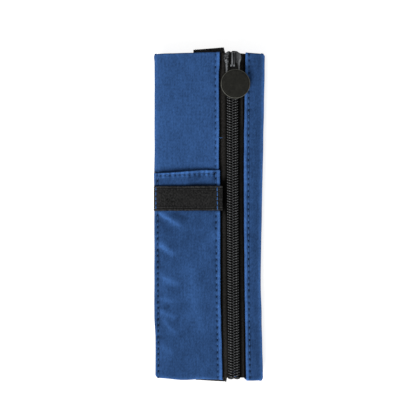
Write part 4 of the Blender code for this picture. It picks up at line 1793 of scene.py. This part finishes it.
@dataclass
class ZipSlider(SubAssembly):
    """Slider body, crown and lock spring, in the slider's own place on the zip line."""

    length: float = 11.8
    nose_y: float = 85.3
    shoulder: float = 4.6
    tail: float = 3.9
    flange_width: float = 0.55
    flange_low: float = 8.2
    plate_low: float = 10.2
    plate_top: float = 10.9
    lower_half: float = 3.8
    lower_low: float = 6.45
    lower_top: float = 7.1

    @property
    def placed(self) -> Matrix:
        """The slider's tail end on the zip line."""
        return ZipChain(self.outline).placed @ Matrix.Translation((0, self.nose_y - self.length, 0))

    def shield(self, tail: float, shoulder: float, length: float) -> list[Point]:
        """Outline of a slider plate: a narrow tail, round shoulders and a shallow notch in the nose.

        Args:
            tail: Half width of the tail.
            shoulder: Half width of the shoulders.
            length: Distance from tail to nose.

        Returns:
            The outline, anticlockwise.
        """
        right = [
            (tail * 0.70, 0.0), (tail * 0.90, length * 0.025), (tail * 0.985, length * 0.08),
            (tail, length * 0.18), (tail, length * 0.42), (between(tail, shoulder, 0.25), length * 0.52),
            (between(tail, shoulder, 0.75), length * 0.61), (shoulder, length * 0.69),
            (shoulder * 0.995, length * 0.77), (shoulder * 0.94, length * 0.86),
            (shoulder * 0.82, length * 0.935), (shoulder * 0.62, length * 0.985), (shoulder * 0.42, length),
            (shoulder * 0.22, length * 0.99),
        ]
        left = [(-x, y) for x, y in reversed(right)]
        return right + [(0.0, length * 0.965)] + left

    def prism(self, bm: BMesh, outline: Sequence[Point], low: float, high: float) -> BMFace:
        """Raise a flat outline into a closed block.

        Args:
            bm: The mesh that takes it.
            outline: Its corners.
            low: Height of its underside.
            high: Height of its top.

        Returns:
            Its underside.
        """
        floor = bm.faces.new([bm.verts.new((x, y, low)) for x, y in outline])
        before = set(bm.faces)
        grown = bmesh.ops.extrude_face_region(bm, geom=[floor], use_keep_orig=True)["geom"]
        verts = only(BMVert, grown)
        bmesh.ops.translate(bm, vec=(0, 0, high - low), verts=verts)
        made = [floor, *[face for face in bm.faces if face not in before]]
        bmesh.ops.recalc_face_normals(bm, faces=made)
        return floor

    def half_at(self, share: float) -> float:
        """Half the upper plate's width, at a share of its length from the tail."""
        width = between(self.tail, self.shoulder, ease((share - 0.42) / 0.27))
        round_tail = sqrt(1 - (1 - clamp(share / 0.10)) ** 2)
        return width * between(0.70, 1.0, round_tail) * (1 - 0.38 * clamp((share - 0.72) / 0.28) ** 2)

    def crest(self, bm: BMesh) -> None:
        """Sculpt the top of the upper plate: two cast lobes, a channel between them and a rolled rim, with
        painted light and shade on them.

        Args:
            bm: The mesh that takes it.
        """
        columns, rows = 36, 48
        tone = bm.verts.layers.float.new(TONE)
        made = bmesh.ops.create_grid(bm, x_segments=columns, y_segments=rows, size=1.0)["verts"]
        for vert in made:
            across, share = vert.co.x, (vert.co.y + 1) / 2
            x, y = across * self.half_at(share), share * self.length
            nose = ease((share - 0.80) / 0.20)
            notch = 0.55 * bell(x + 0.8, 0.55)
            y -= nose * (notch + 0.5 * abs(across) ** 3)
            rim = sqrt(1 - abs(across) ** 6)
            end = sqrt(max(0.0, 1 - (1 - clamp(min(share, 1 - share) / 0.09)) ** 2))
            lobe = bell(abs(x) - 2.65, 1.0)
            z = self.plate_low + (0.26 + (0.16 + 0.26 * lobe) * rim * end)
            vert.co = (x, y, z)
            leg = share < 0.62
            # Painted shade fills the channel, and a painted highlight runs along the rim of the legs with
            # painted shade just outside it.
            middle, reach = (-0.1, 2.4) if share < 0.45 else (-0.4, 1.35)
            channel = bell(x - middle, reach, 6)
            ring, wide = (0.80, 0.13) if x < 0 else (0.86, 0.10)
            edge = bell(abs(across) - ring, wide, 4) * (1.5 if leg else 0.3)
            edge -= 0.8 * ease((abs(across) - ring - wide) / 0.05) * leg
            # cast is the plate's tone: the right half is drawn lighter as painted light, the left half a
            # random mottle.
            cast = 0.88 if x > 0 else 0.12 + 1.8 * noise.noise(vert.co * 1.5)
            vert[tone] = between(cast, -1.0, channel * (1 - 0.5 * nose)) + edge
        walls = [edge for edge in bm.edges if edge.is_boundary]
        grown = bmesh.ops.extrude_edge_only(bm, edges=walls)["geom"]
        low = only(BMVert, grown)
        for vert in low:
            vert.co.z = self.plate_low
        rim = [edge for edge in only(BMEdge, grown) if edge.is_boundary]
        bmesh.ops.contextual_create(bm, geom=rim)

    def flange(self, side: int) -> list[Point]:
        """Outline of one flange, which hangs from the upper plate's edge.

        Args:
            side: 1 on the right, -1 on the left.

        Returns:
            The outline.
        """
        shares = [0.05 + 0.87 * step / 16 for step in range(17)]
        outer = [(side * (self.half_at(share) - 0.05), share * self.length) for share in shares]
        inner = [(x - side * self.flange_width, y) for x, y in reversed(outer)]
        return outer + inner

    def body(self) -> BMesh:
        """The upper plate with its two lobes, its flanges, the wedge and the lower plate."""
        bm = bmesh.new()
        self.crest(bm)
        cast = set(bm.verts)
        for side in (-1, 1):
            self.prism(bm, self.flange(side), self.flange_low, self.plate_low + 0.12)
        lower = self.shield(self.lower_half * self.tail / self.shoulder, self.lower_half, self.length - 0.3)
        under = self.prism(bm, lower, self.lower_low, self.lower_top)
        bmesh.ops.inset_region(bm, faces=[under], thickness=0.5, depth=0.06, use_even_offset=True)
        start = self.length - 3.5
        right = [
            (0.36, start), (0.72, start + 0.6), (1.0, start + 1.35), (0.92, start + 2.1),
            (0.66, start + 2.7), (0.34, start + 3.0),
        ]
        wedge = right + [(-x, y) for x, y in reversed(right)]
        self.prism(bm, wedge, self.lower_top - 0.3, self.plate_low + 0.1)
        mark_worn_and_highlit_edges(bm, [vert for vert in bm.verts if vert not in cast])
        face_out(bm)
        bmesh.ops.transform(bm, matrix=self.placed, verts=bm.verts[:])
        return bm

    def crown(self) -> BMesh:
        """The crown over the pull's bar: a copy of its solid, made one surface again, its tone a painted
        highlight and painted shade.
        """
        bm = bmesh.new()
        bm.from_mesh(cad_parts["slider_crown"].data)
        bmesh.ops.scale(bm, vec=(1 / MM, 1 / MM, 1 / MM), verts=bm.verts[:])
        bmesh.ops.remove_doubles(bm, verts=bm.verts[:], dist=0.002)
        bmesh.ops.dissolve_limit(bm, angle_limit=radians(2), verts=bm.verts[:], edges=bm.edges[:])
        foot = min(vert.co.z for vert in bm.verts)
        for vert in bm.verts:
            if vert.co.z < foot + 0.05:
                vert.co.z = self.plate_top - 0.3
        # Cuts along and across, so that the painted stripes of light and shade have sharp edges.
        across = [(cut, 0.0) for cut in (-0.60, -0.45, -0.05, 0.08, 0.46, 0.62)]
        along = [(0.0, cut) for cut in (4.2, 4.7, 5.1, 7.5, 10.2)]
        for cut in across + along:
            bmesh.ops.bisect_plane(
                bm, geom=bm.verts[:] + bm.edges[:] + bm.faces[:],
                plane_co=self.placed @ Vector((cut[0], cut[1], 0)),
                plane_no=self.placed.to_3x3() @ Vector((bool(cut[0]), bool(cut[1]), 0)), dist=0.001,
            )
        mark_worn_and_highlit_edges(bm, bm.verts, 60.0)
        tone = bm.verts.layers.float[TONE]
        back = self.placed.inverted()
        for vert in bm.verts:
            place = back @ vert.co
            x = place.x
            # A painted highlight along the left top edge, painted shade on both sides of it, and painted
            # highlights on the rear knob.
            ridge = 2.6 * bell(x + 0.25, 0.24, 6)
            shaded = -1.3 * (ease((-0.45 - x) / 0.15) + bell(x - 0.27, 0.22, 6))
            knob = ease((4.8 - place.y) / 0.5)
            knob_painted_light = 1.5 - 1.6 * bell(x, 0.3)
            vert[tone] = between(0.3 + ridge + shaded, knob_painted_light, knob)
        return bm

    def build(self) -> None:
        """Make the slider's pieces."""
        cast = (("body", self.body(), 0.12, 2, 42.0), ("crown", self.crown(), 0.32, 3, 38.0))
        for word, bm, width, segments, angle in cast:
            node = f"slider_{word}"
            piece = self.publish(f"{node}_cast", bm, ZINC, Body.SLIDER, [node], "slider_metal")
            self.soften(piece, width, segments, angle)
        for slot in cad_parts["slider_lock_spring"].material_slots:
            slot.material = SPRING.make()


@dataclass
class RoundPull(SubAssembly):
    """Round pull with the wire eye that hangs it from the crown."""

    radius: float = 7.6
    thickness: float = 1.2
    reach: float = 10.7
    eye_half: float = 2.08
    eye_bend: float = 0.62
    wire: float = 0.36
    axis_height: float = 11.95
    yaw: float = 8.0
    bar_from_nose: float = 6.6

    @property
    def placed(self) -> Matrix:
        """The middle of the pull's bar."""
        slider = ZipSlider(self.outline)
        along = slider.length - self.bar_from_nose
        turned = Matrix.Rotation(radians(self.yaw), 4, "Z")
        return slider.placed @ Matrix.Translation((0, along, self.axis_height)) @ turned

    def disc(self) -> BMesh:
        """The disc, spun from its half section: a flat face inside a shallow groove and a bevelled rim."""
        bm = bmesh.new()
        half = self.thickness / 2
        section = [
            (0.0, half), (self.radius - 1.35, half), (self.radius - 0.80, half),
            (self.radius - 0.66, half - 0.10), (self.radius - 0.54, half - 0.10),
            (self.radius - 0.42, half), (self.radius - 0.26, half), (self.radius - 0.08, half - 0.10),
            (self.radius, half - 0.30), (self.radius, -half + 0.30), (self.radius - 0.08, -half + 0.10),
            (self.radius - 0.26, -half), (self.radius - 1.35, -half), (0.0, -half),
        ]
        verts = [bm.verts.new((x, 0.0, z)) for x, z in section]
        edges = [bm.edges.new(pair) for pair in zip(verts, verts[1:])]
        bmesh.ops.spin(
            bm, geom=verts + edges, cent=(0, 0, 0), axis=(0, 0, 1), angle=tau, steps=72, use_merge=True
        )
        bmesh.ops.remove_doubles(bm, verts=bm.verts[:], dist=0.01)
        face_out(bm)
        bmesh.ops.translate(bm, vec=(0, -self.reach, 0), verts=bm.verts[:])
        return bm

    def eye(self, bm: BMesh) -> None:
        """Bend the wire eye: out of the disc, through the crown and back."""
        low = -(self.reach - self.radius + 0.8)
        half, bend = self.eye_half, self.eye_bend
        path = [Vector((-half, low, 0)), Vector((-half, low * 0.5, 0)), Vector((-half, -bend, 0))]
        for step in range(1, 5):
            turn = radians(90 * step / 5)
            path.append(Vector((-half + bend * (1 - cos(turn)), -bend + bend * sin(turn), 0)))
        path += [Vector((-half + bend, 0, 0)), Vector((0, 0, 0))]
        path += [Vector((-point.x, point.y, 0)) for point in reversed(path[:-1])]
        radii = [(self.wire, self.wire)] * len(path)
        made = sweep(bm, path, radii, 10, Vector((0, 0, 1)))
        bmesh.ops.recalc_face_normals(bm, faces=list({f for v in made for f in v.link_faces}))

    def build(self) -> None:
        """Make the pull."""
        bm = self.disc()
        tone = bm.verts.layers.float.new(TONE)
        for vert in bm.verts:
            off = hypot(vert.co.x, vert.co.y + self.reach) - self.radius
            # A painted highlight on the rim and painted shade in the groove inside it.
            vert[tone] = ease((off + 0.40) / 0.3) - 0.5 * bell(off + 0.60, 0.12)
        disc = set(bm.verts)
        self.eye(bm)
        # The wire eye is drawn much darker, as painted shade under the crown.
        for vert in bm.verts:
            if vert not in disc:
                vert[tone] = -0.9
        bmesh.ops.transform(bm, matrix=self.placed, verts=bm.verts[:])
        piece = self.publish("pull_disc_stamped", bm, LACQUER, Body.PULL, ["pull_disc"], "pull_lacquer")
        piece.data.set_sharp_from_angle(angle=radians(50))


# The elastics


@dataclass
class Elastics(SubAssembly):
    """Pen loop and book band, each woven in two halves that meet in its middle."""

    cloth: PouchCloth = field(default_factory=PouchCloth)
    thickness: float = 0.75
    loop_right: float = 6.75
    loop_middle: float = -10.15
    loop_left: float = -28.2
    loop_turn: float = 1.3
    loop_rise: float = 1.6
    band_half: float = 8.0
    band_middle_x: float = 0.2
    band_lean: float = 0.43
    band_end_length: float = 15.0
    fold_slant: float = 4.6
    seam_level: float = 4.8
    tab_level: float = 6.7

    def strip(
        self, path: Measured, across: Callable[[int, float], Vector], half: float, mark: float = 0.0
    ) -> BMesh:
        """Weave a strip: a grid that follows a path, with a selvage groove inside each long edge.

        Args:
            path: Points along the strip's middle, each with the distance along the strip.
            across: Place of a point, from its number on the path and its distance off the middle.
            half: Half the strip's width.
            mark: Added to the distance along, so that two halves match.

        Returns:
            The open sheet, with its cloth map and its tone.
        """
        marks = [-1.0, -0.965, -0.92, -0.88, -0.84, -0.80, -0.76, -0.72, -0.68, -0.64, -0.60, -0.54]
        inner = [mark / 10 for mark in range(-4, 5, 2)]
        shares = marks + inner + [-mark for mark in reversed(marks)]
        bm = bmesh.new()
        bmesh.ops.create_grid(bm, x_segments=len(path) - 1, y_segments=len(shares) - 1, size=0.5)
        tone_layer = bm.verts.layers.float.new(TONE)
        cloth: dict[BMVert, Point] = {}
        for vert in bm.verts:
            index = round((vert.co.x + 0.5) * (len(path) - 1))
            share = shares[round((vert.co.y + 0.5) * (len(shares) - 1))]
            _, distance = path[index]
            off = (1 - abs(share)) * half
            groove = bell(off - 1.15, 0.30) + 0.5 * bell(off - 2.25, 0.30)
            ridge = bell(off - 0.60, 0.36) + 0.6 * bell(off - 1.70, 0.30)
            normal = self.path_normal(path, index)
            vert.co = across(index, share * half) + normal * (0.07 * ridge - 0.12 * groove)
            # The raised ribs are drawn lighter and the selvage grooves darker, as painted light and shade.
            vert[tone_layer] = 0.60 * ridge - 0.90 * groove
            cloth[vert] = ((distance + mark) * MM, share * half * MM)
        map_cloth(bm, cloth)
        return bm

    def path_normal(self, path: Measured, index: int) -> Vector:
        """Direction square to the strip at one of its points."""
        before = path[max(0, index - 1)][0]
        after = path[min(len(path) - 1, index + 1)][0]
        run = (after - before).normalized()
        if abs(run.x) > abs(run.y):
            return Vector((-run.z, 0, run.x))
        return Vector((0, -run.z, run.y))

    def measured(self, points: Sequence[Vector]) -> Measured:
        """Points of a path, each with the distance along it."""
        total, made = 0.0, []
        for index, point in enumerate(points):
            if index:
                total += (point - points[index - 1]).length
            made.append((point, total))
        return made

    def loop_point(self, x: float) -> Vector:
        """Middle of the pen loop's elastic above a place."""
        level = self.outline.front_level(max(x, -28.6), 0.0) + self.loop_rise
        wave = 0.14 * sin((x + 20) / 5.2) * ease((x + 24) / 8)
        return Vector((x, 0, level + wave * ease((4 - x) / 8)))

    def loop_run(self, end: float) -> list[Vector]:
        """Middle line of the pen loop, from its middle to one end."""
        count = 34
        return [self.loop_point(between(self.loop_middle, end, step / count)) for step in range(count + 1)]

    def pen_loop(self) -> None:
        """Make the pen loop across the pocket, its left end turned down round the side seam."""
        right, left = self.loop_run(self.loop_right), self.loop_run(self.loop_left)
        last, start = left[-1], radians(40)
        for step in range(1, 7):
            turn = radians(40 + 22 * step)
            x = last.x - self.loop_turn * (sin(turn) - sin(start))
            left.append(Vector((x, 0, last.z - self.loop_turn * (cos(start) - cos(turn)))))
        left.append(left[-1] + Vector((0.5, 0, -0.4)))
        low, high = self.cloth.loop_low, self.cloth.loop_high
        middle_y, half = (low + high) / 2, (high - low) / 2
        for word, points in (("left", list(reversed(left))), ("right", right)):
            path = self.measured(points)
            mark = -path[-1][1] if word == "left" else 0.0

            def place(index: int, off: float, path: Measured = path) -> Vector:
                """A point of the strip."""
                point = path[index][0]
                bow = 0.16 * drift(point.x, off * 0.2, 7, 3.3)
                tilt = 0.0035 * (point.x - self.loop_middle)
                return Vector((point.x, middle_y + off + bow + tilt, point.z))

            bm = self.strip(path, place, half, mark)
            name = f"pen_loop_{word}_half"
            nodes = [f"pen_loop_{word}_end"] + (["pen_loop_span"] if word == "right" else [])
            piece = self.publish(name, bm, ELASTIC, None, nodes, "elastic")
            self.thicken(piece, self.thickness, 0.0)
            self.settle(piece)
            start_x = -25.5 if word == "left" else 3.6
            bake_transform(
                piece, Body.POUCH.value, Body.PEN_LOOP.value,
                start=tuple(Vector((start_x, middle_y, 10)) * MM),
                end=tuple(Vector((self.loop_middle, middle_y, 10)) * MM),
            )

    def band_points(self, side: int) -> list[Vector]:
        """Middle line of one half of the book band: along the back, round the end seam, to its tab.

        Args:
            side: 1 at the top, -1 at the bottom.

        Returns:
            The points, from the middle out.
        """
        shape = self.outline
        reach, fold = (shape.top_reach, 1.8) if side > 0 else (shape.bottom_reach, 1.2)
        half = 0.4
        radius = (self.tab_level - self.seam_level) / 2
        centre = reach + fold - radius - half
        start, tab = reach - self.band_end_length, reach - 2.3
        points = [Vector((0, side * start * step / 16, half)) for step in range(16)]
        for step in range(24):
            y = between(start, centre, step / 23)
            lift = shape.back_top(0, side * min(y, reach - 1.0)) - shape.back_fabric
            points.append(Vector((0, side * y, max(half, lift - 0.3 - half))))
        for step in range(1, 10):
            angle = pi * (step / 9 - 0.5)
            z = self.seam_level + radius * (1 + sin(angle))
            points.append(Vector((0, side * (centre + radius * cos(angle)), z)))
        for step in range(1, 5):
            points.append(Vector((0, side * between(centre, tab, step / 4), self.tab_level)))
        return points

    def book_band(self) -> None:
        """Make the book band behind the pouch."""
        for side, word in ((1, "top"), (-1, "bottom")):
            points = self.band_points(side)
            path = self.measured(points)
            lean = radians(self.band_lean)
            slope = tan(radians(self.fold_slant))
            top = max(abs(point.y) for point in points)

            def place(index: int, off: float, path: Measured = path) -> Vector:
                """A point of the strip."""
                point = path[index][0]
                x = self.band_middle_x + off * cos(lean) - point.y * sin(lean)
                share = ease((abs(point.y) - (top - 12)) / 12)
                on_tab = ease((point.z - 5.2) / 1.2)
                slant = slope * off * share * (1 if side > 0 else -0.75)
                shear = (0.9 if side > 0 else 0.6) * on_tab * ease((top - abs(point.y)) / 4)
                rim = 0.35 * share if side < 0 else 0.0
                return Vector((x + shear, point.y + slant - side * rim, point.z))

            bm = self.strip(path, place, self.band_half)
            if side < 0:
                bmesh.ops.reverse_faces(bm, faces=bm.faces[:])
            nodes = [f"book_band_{word}_end"] + (["book_band_span"] if side > 0 else [])
            piece = self.publish(f"book_band_{word}_half", bm, ELASTIC, None, nodes, "elastic")
            self.thicken(piece, self.thickness, 0.0)
            self.settle(piece)
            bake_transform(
                piece, Body.POUCH.value, Body.BOOK_BAND.value, start=tuple(Vector((0, side * 79, 1)) * MM),
                end=tuple(Vector((0, side * 30, 1)) * MM),
            )

    def bars(self) -> None:
        """Stitch the pen loop down at both ends, in blue thread that shows on the black."""
        sewing = Stitching(self.outline, self.cloth, thread_radius=0.25, thread_lift=0.12, gap=0.10)

        def level(x: float, y: float) -> float:
            """Outer face of the pen loop."""
            return self.loop_point(x).z + 0.40

        low, high = self.cloth.loop_low + 0.4, self.cloth.loop_high - 0.3
        right = StitchRow((4.15, low), (4.0, high), pitch=2.45, seed=23.0)
        left = StitchRow((-27.9, low), (-27.9, high), pitch=2.5, seed=29.0)
        sewing.row("pen_loop_bar_right", right, level)
        sewing.row("pen_loop_bar_left", left, level)

    def build(self) -> None:
        """Make both elastics and their stitches."""
        self.pen_loop()
        self.book_band()
        self.bars()


# The studio


@dataclass
class Studio:
    """Camera straight above, a pale floor and soft lights."""

    height: float = 1.2
    aim: Place = (-0.806 * MM, 3.64 * MM, 9.0 * MM)
    view_width: float = 216.3 * MM
    sensor_width: float = 36.0
    key_place: Place = (-0.95, -2.05, 1.55)
    key_size: float = 1.3
    key_power: float = 78.0
    fill_place: Place = (-0.35, 0.25, 1.25)
    fill_size: float = 0.9
    fill_power: float = 2.7
    floor_half: float = 3.0
    floor_level: float = -0.02 * MM
    world_level: float = 0.25
    floor_glow: float = 0.78

    def camera(self) -> None:
        """Hang the camera over the pouch."""
        data = bpy.data.cameras.new("camera")
        data.sensor_width = self.sensor_width
        data.lens = data.sensor_width * self.height / self.view_width
        data.clip_start, data.clip_end = 0.05, 20.0
        camera = bpy.data.objects.new("camera", data)
        camera.location = (self.aim[0], self.aim[1], self.aim[2] + self.height)
        bpy.context.scene.collection.objects.link(camera)
        bpy.context.scene.camera = camera

    def lamp(self, name: str, place: Place, size: float, power: float) -> None:
        """Add a soft square lamp that faces the pouch.

        Args:
            name: The lamp's name.
            place: Where it hangs.
            size: Its side.
            power: Its power in watts.
        """
        data = bpy.data.lights.new(name, "AREA")
        data.shape = "SQUARE"
        data.size = size
        data.energy = power
        lamp = bpy.data.objects.new(name, data)
        lamp.location = place
        lamp.rotation_euler = (-Vector(place)).to_track_quat("-Z", "Y").to_euler()
        bpy.context.scene.collection.objects.link(lamp)

    def seen(self, tree: NodeTree) -> NodeSocket:
        """Tell rays that look at the background from rays that only light the object.

        Args:
            tree: The node tree of the floor or the world.

        Returns:
            1 for a camera, glossy or transmission ray, and 0 for any other.
        """
        path = add_node(tree, "ShaderNodeLightPath").outputs
        either = path["Is Camera Ray"]
        for name in ("Is Glossy Ray", "Is Transmission Ray"):
            either = add_node(
                tree, "ShaderNodeMath", {0: either, 1: path[name]}, operation="MAXIMUM"
            ).outputs[0]
        return either

    def world(self) -> None:
        """A pale world that shows as white behind the object."""
        world = bpy.data.worlds.new("studio")
        bpy.context.scene.world = world
        world.use_nodes = True
        tree = world.node_tree
        background = tree.nodes["Background"]
        level = add_node(
            tree, "ShaderNodeMath", {0: self.seen(tree), 1: 1 - self.world_level, 2: self.world_level},
            operation="MULTIPLY_ADD",
        )
        background.inputs["Color"].default_value = (1.0, 1.0, 1.0, 1.0)
        tree.links.new(level.outputs[0], background.inputs["Strength"])

    def floor(self) -> None:
        """A pale floor that keeps the object's shadow and otherwise shows white."""
        bm = bmesh.new()
        bmesh.ops.create_grid(bm, x_segments=1, y_segments=1, size=self.floor_half)
        bmesh.ops.translate(bm, vec=(0, 0, self.floor_level), verts=bm.verts[:])
        mesh = bpy.data.meshes.new("floor")
        bm.to_mesh(mesh)
        bm.free()
        floor = bpy.data.objects.new("floor", mesh)
        bpy.context.scene.collection.objects.link(floor)
        made = bpy.data.materials.new("matte_white_paper")
        made.use_nodes = True
        tree = made.node_tree
        surface = tree.nodes["Principled BSDF"]
        surface.inputs["Base Color"].default_value = (0.62, 0.62, 0.62, 1.0)
        surface.inputs["Roughness"].default_value = 0.95
        surface.inputs["Specular IOR Level"].default_value = 0.1
        glow = add_node(
            tree, "ShaderNodeMath", {0: self.seen(tree), 1: self.floor_glow}, operation="MULTIPLY"
        )
        surface.inputs["Emission Color"].default_value = (1.0, 1.0, 1.0, 1.0)
        tree.links.new(glow.outputs[0], surface.inputs["Emission Strength"])
        mesh.materials.append(made)

    def build(self) -> None:
        """Set up the studio."""
        self.camera()
        self.world()
        self.floor()
        self.lamp("key", self.key_place, self.key_size, self.key_power)
        self.lamp("fill", self.fill_place, self.fill_size, self.fill_power)
        bpy.context.scene.view_settings.view_transform = "Standard"


def main() -> None:
    """Build the whole object and its studio."""
    logging.basicConfig(level=logging.INFO, format="%(name)s: %(message)s")
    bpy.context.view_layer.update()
    Studio().build()
    outline = PouchOutline()
    cloth = PouchCloth(outline)
    parts: list[SubAssembly] = [
        cloth, Stitching(outline, cloth), ZipChain(outline), ZipSlider(outline), RoundPull(outline),
        Elastics(outline, cloth),
    ]
    for part in parts:
        part.build()
        log.info("%s done", type(part).__name__)


if __name__ == "__main__":
    main()
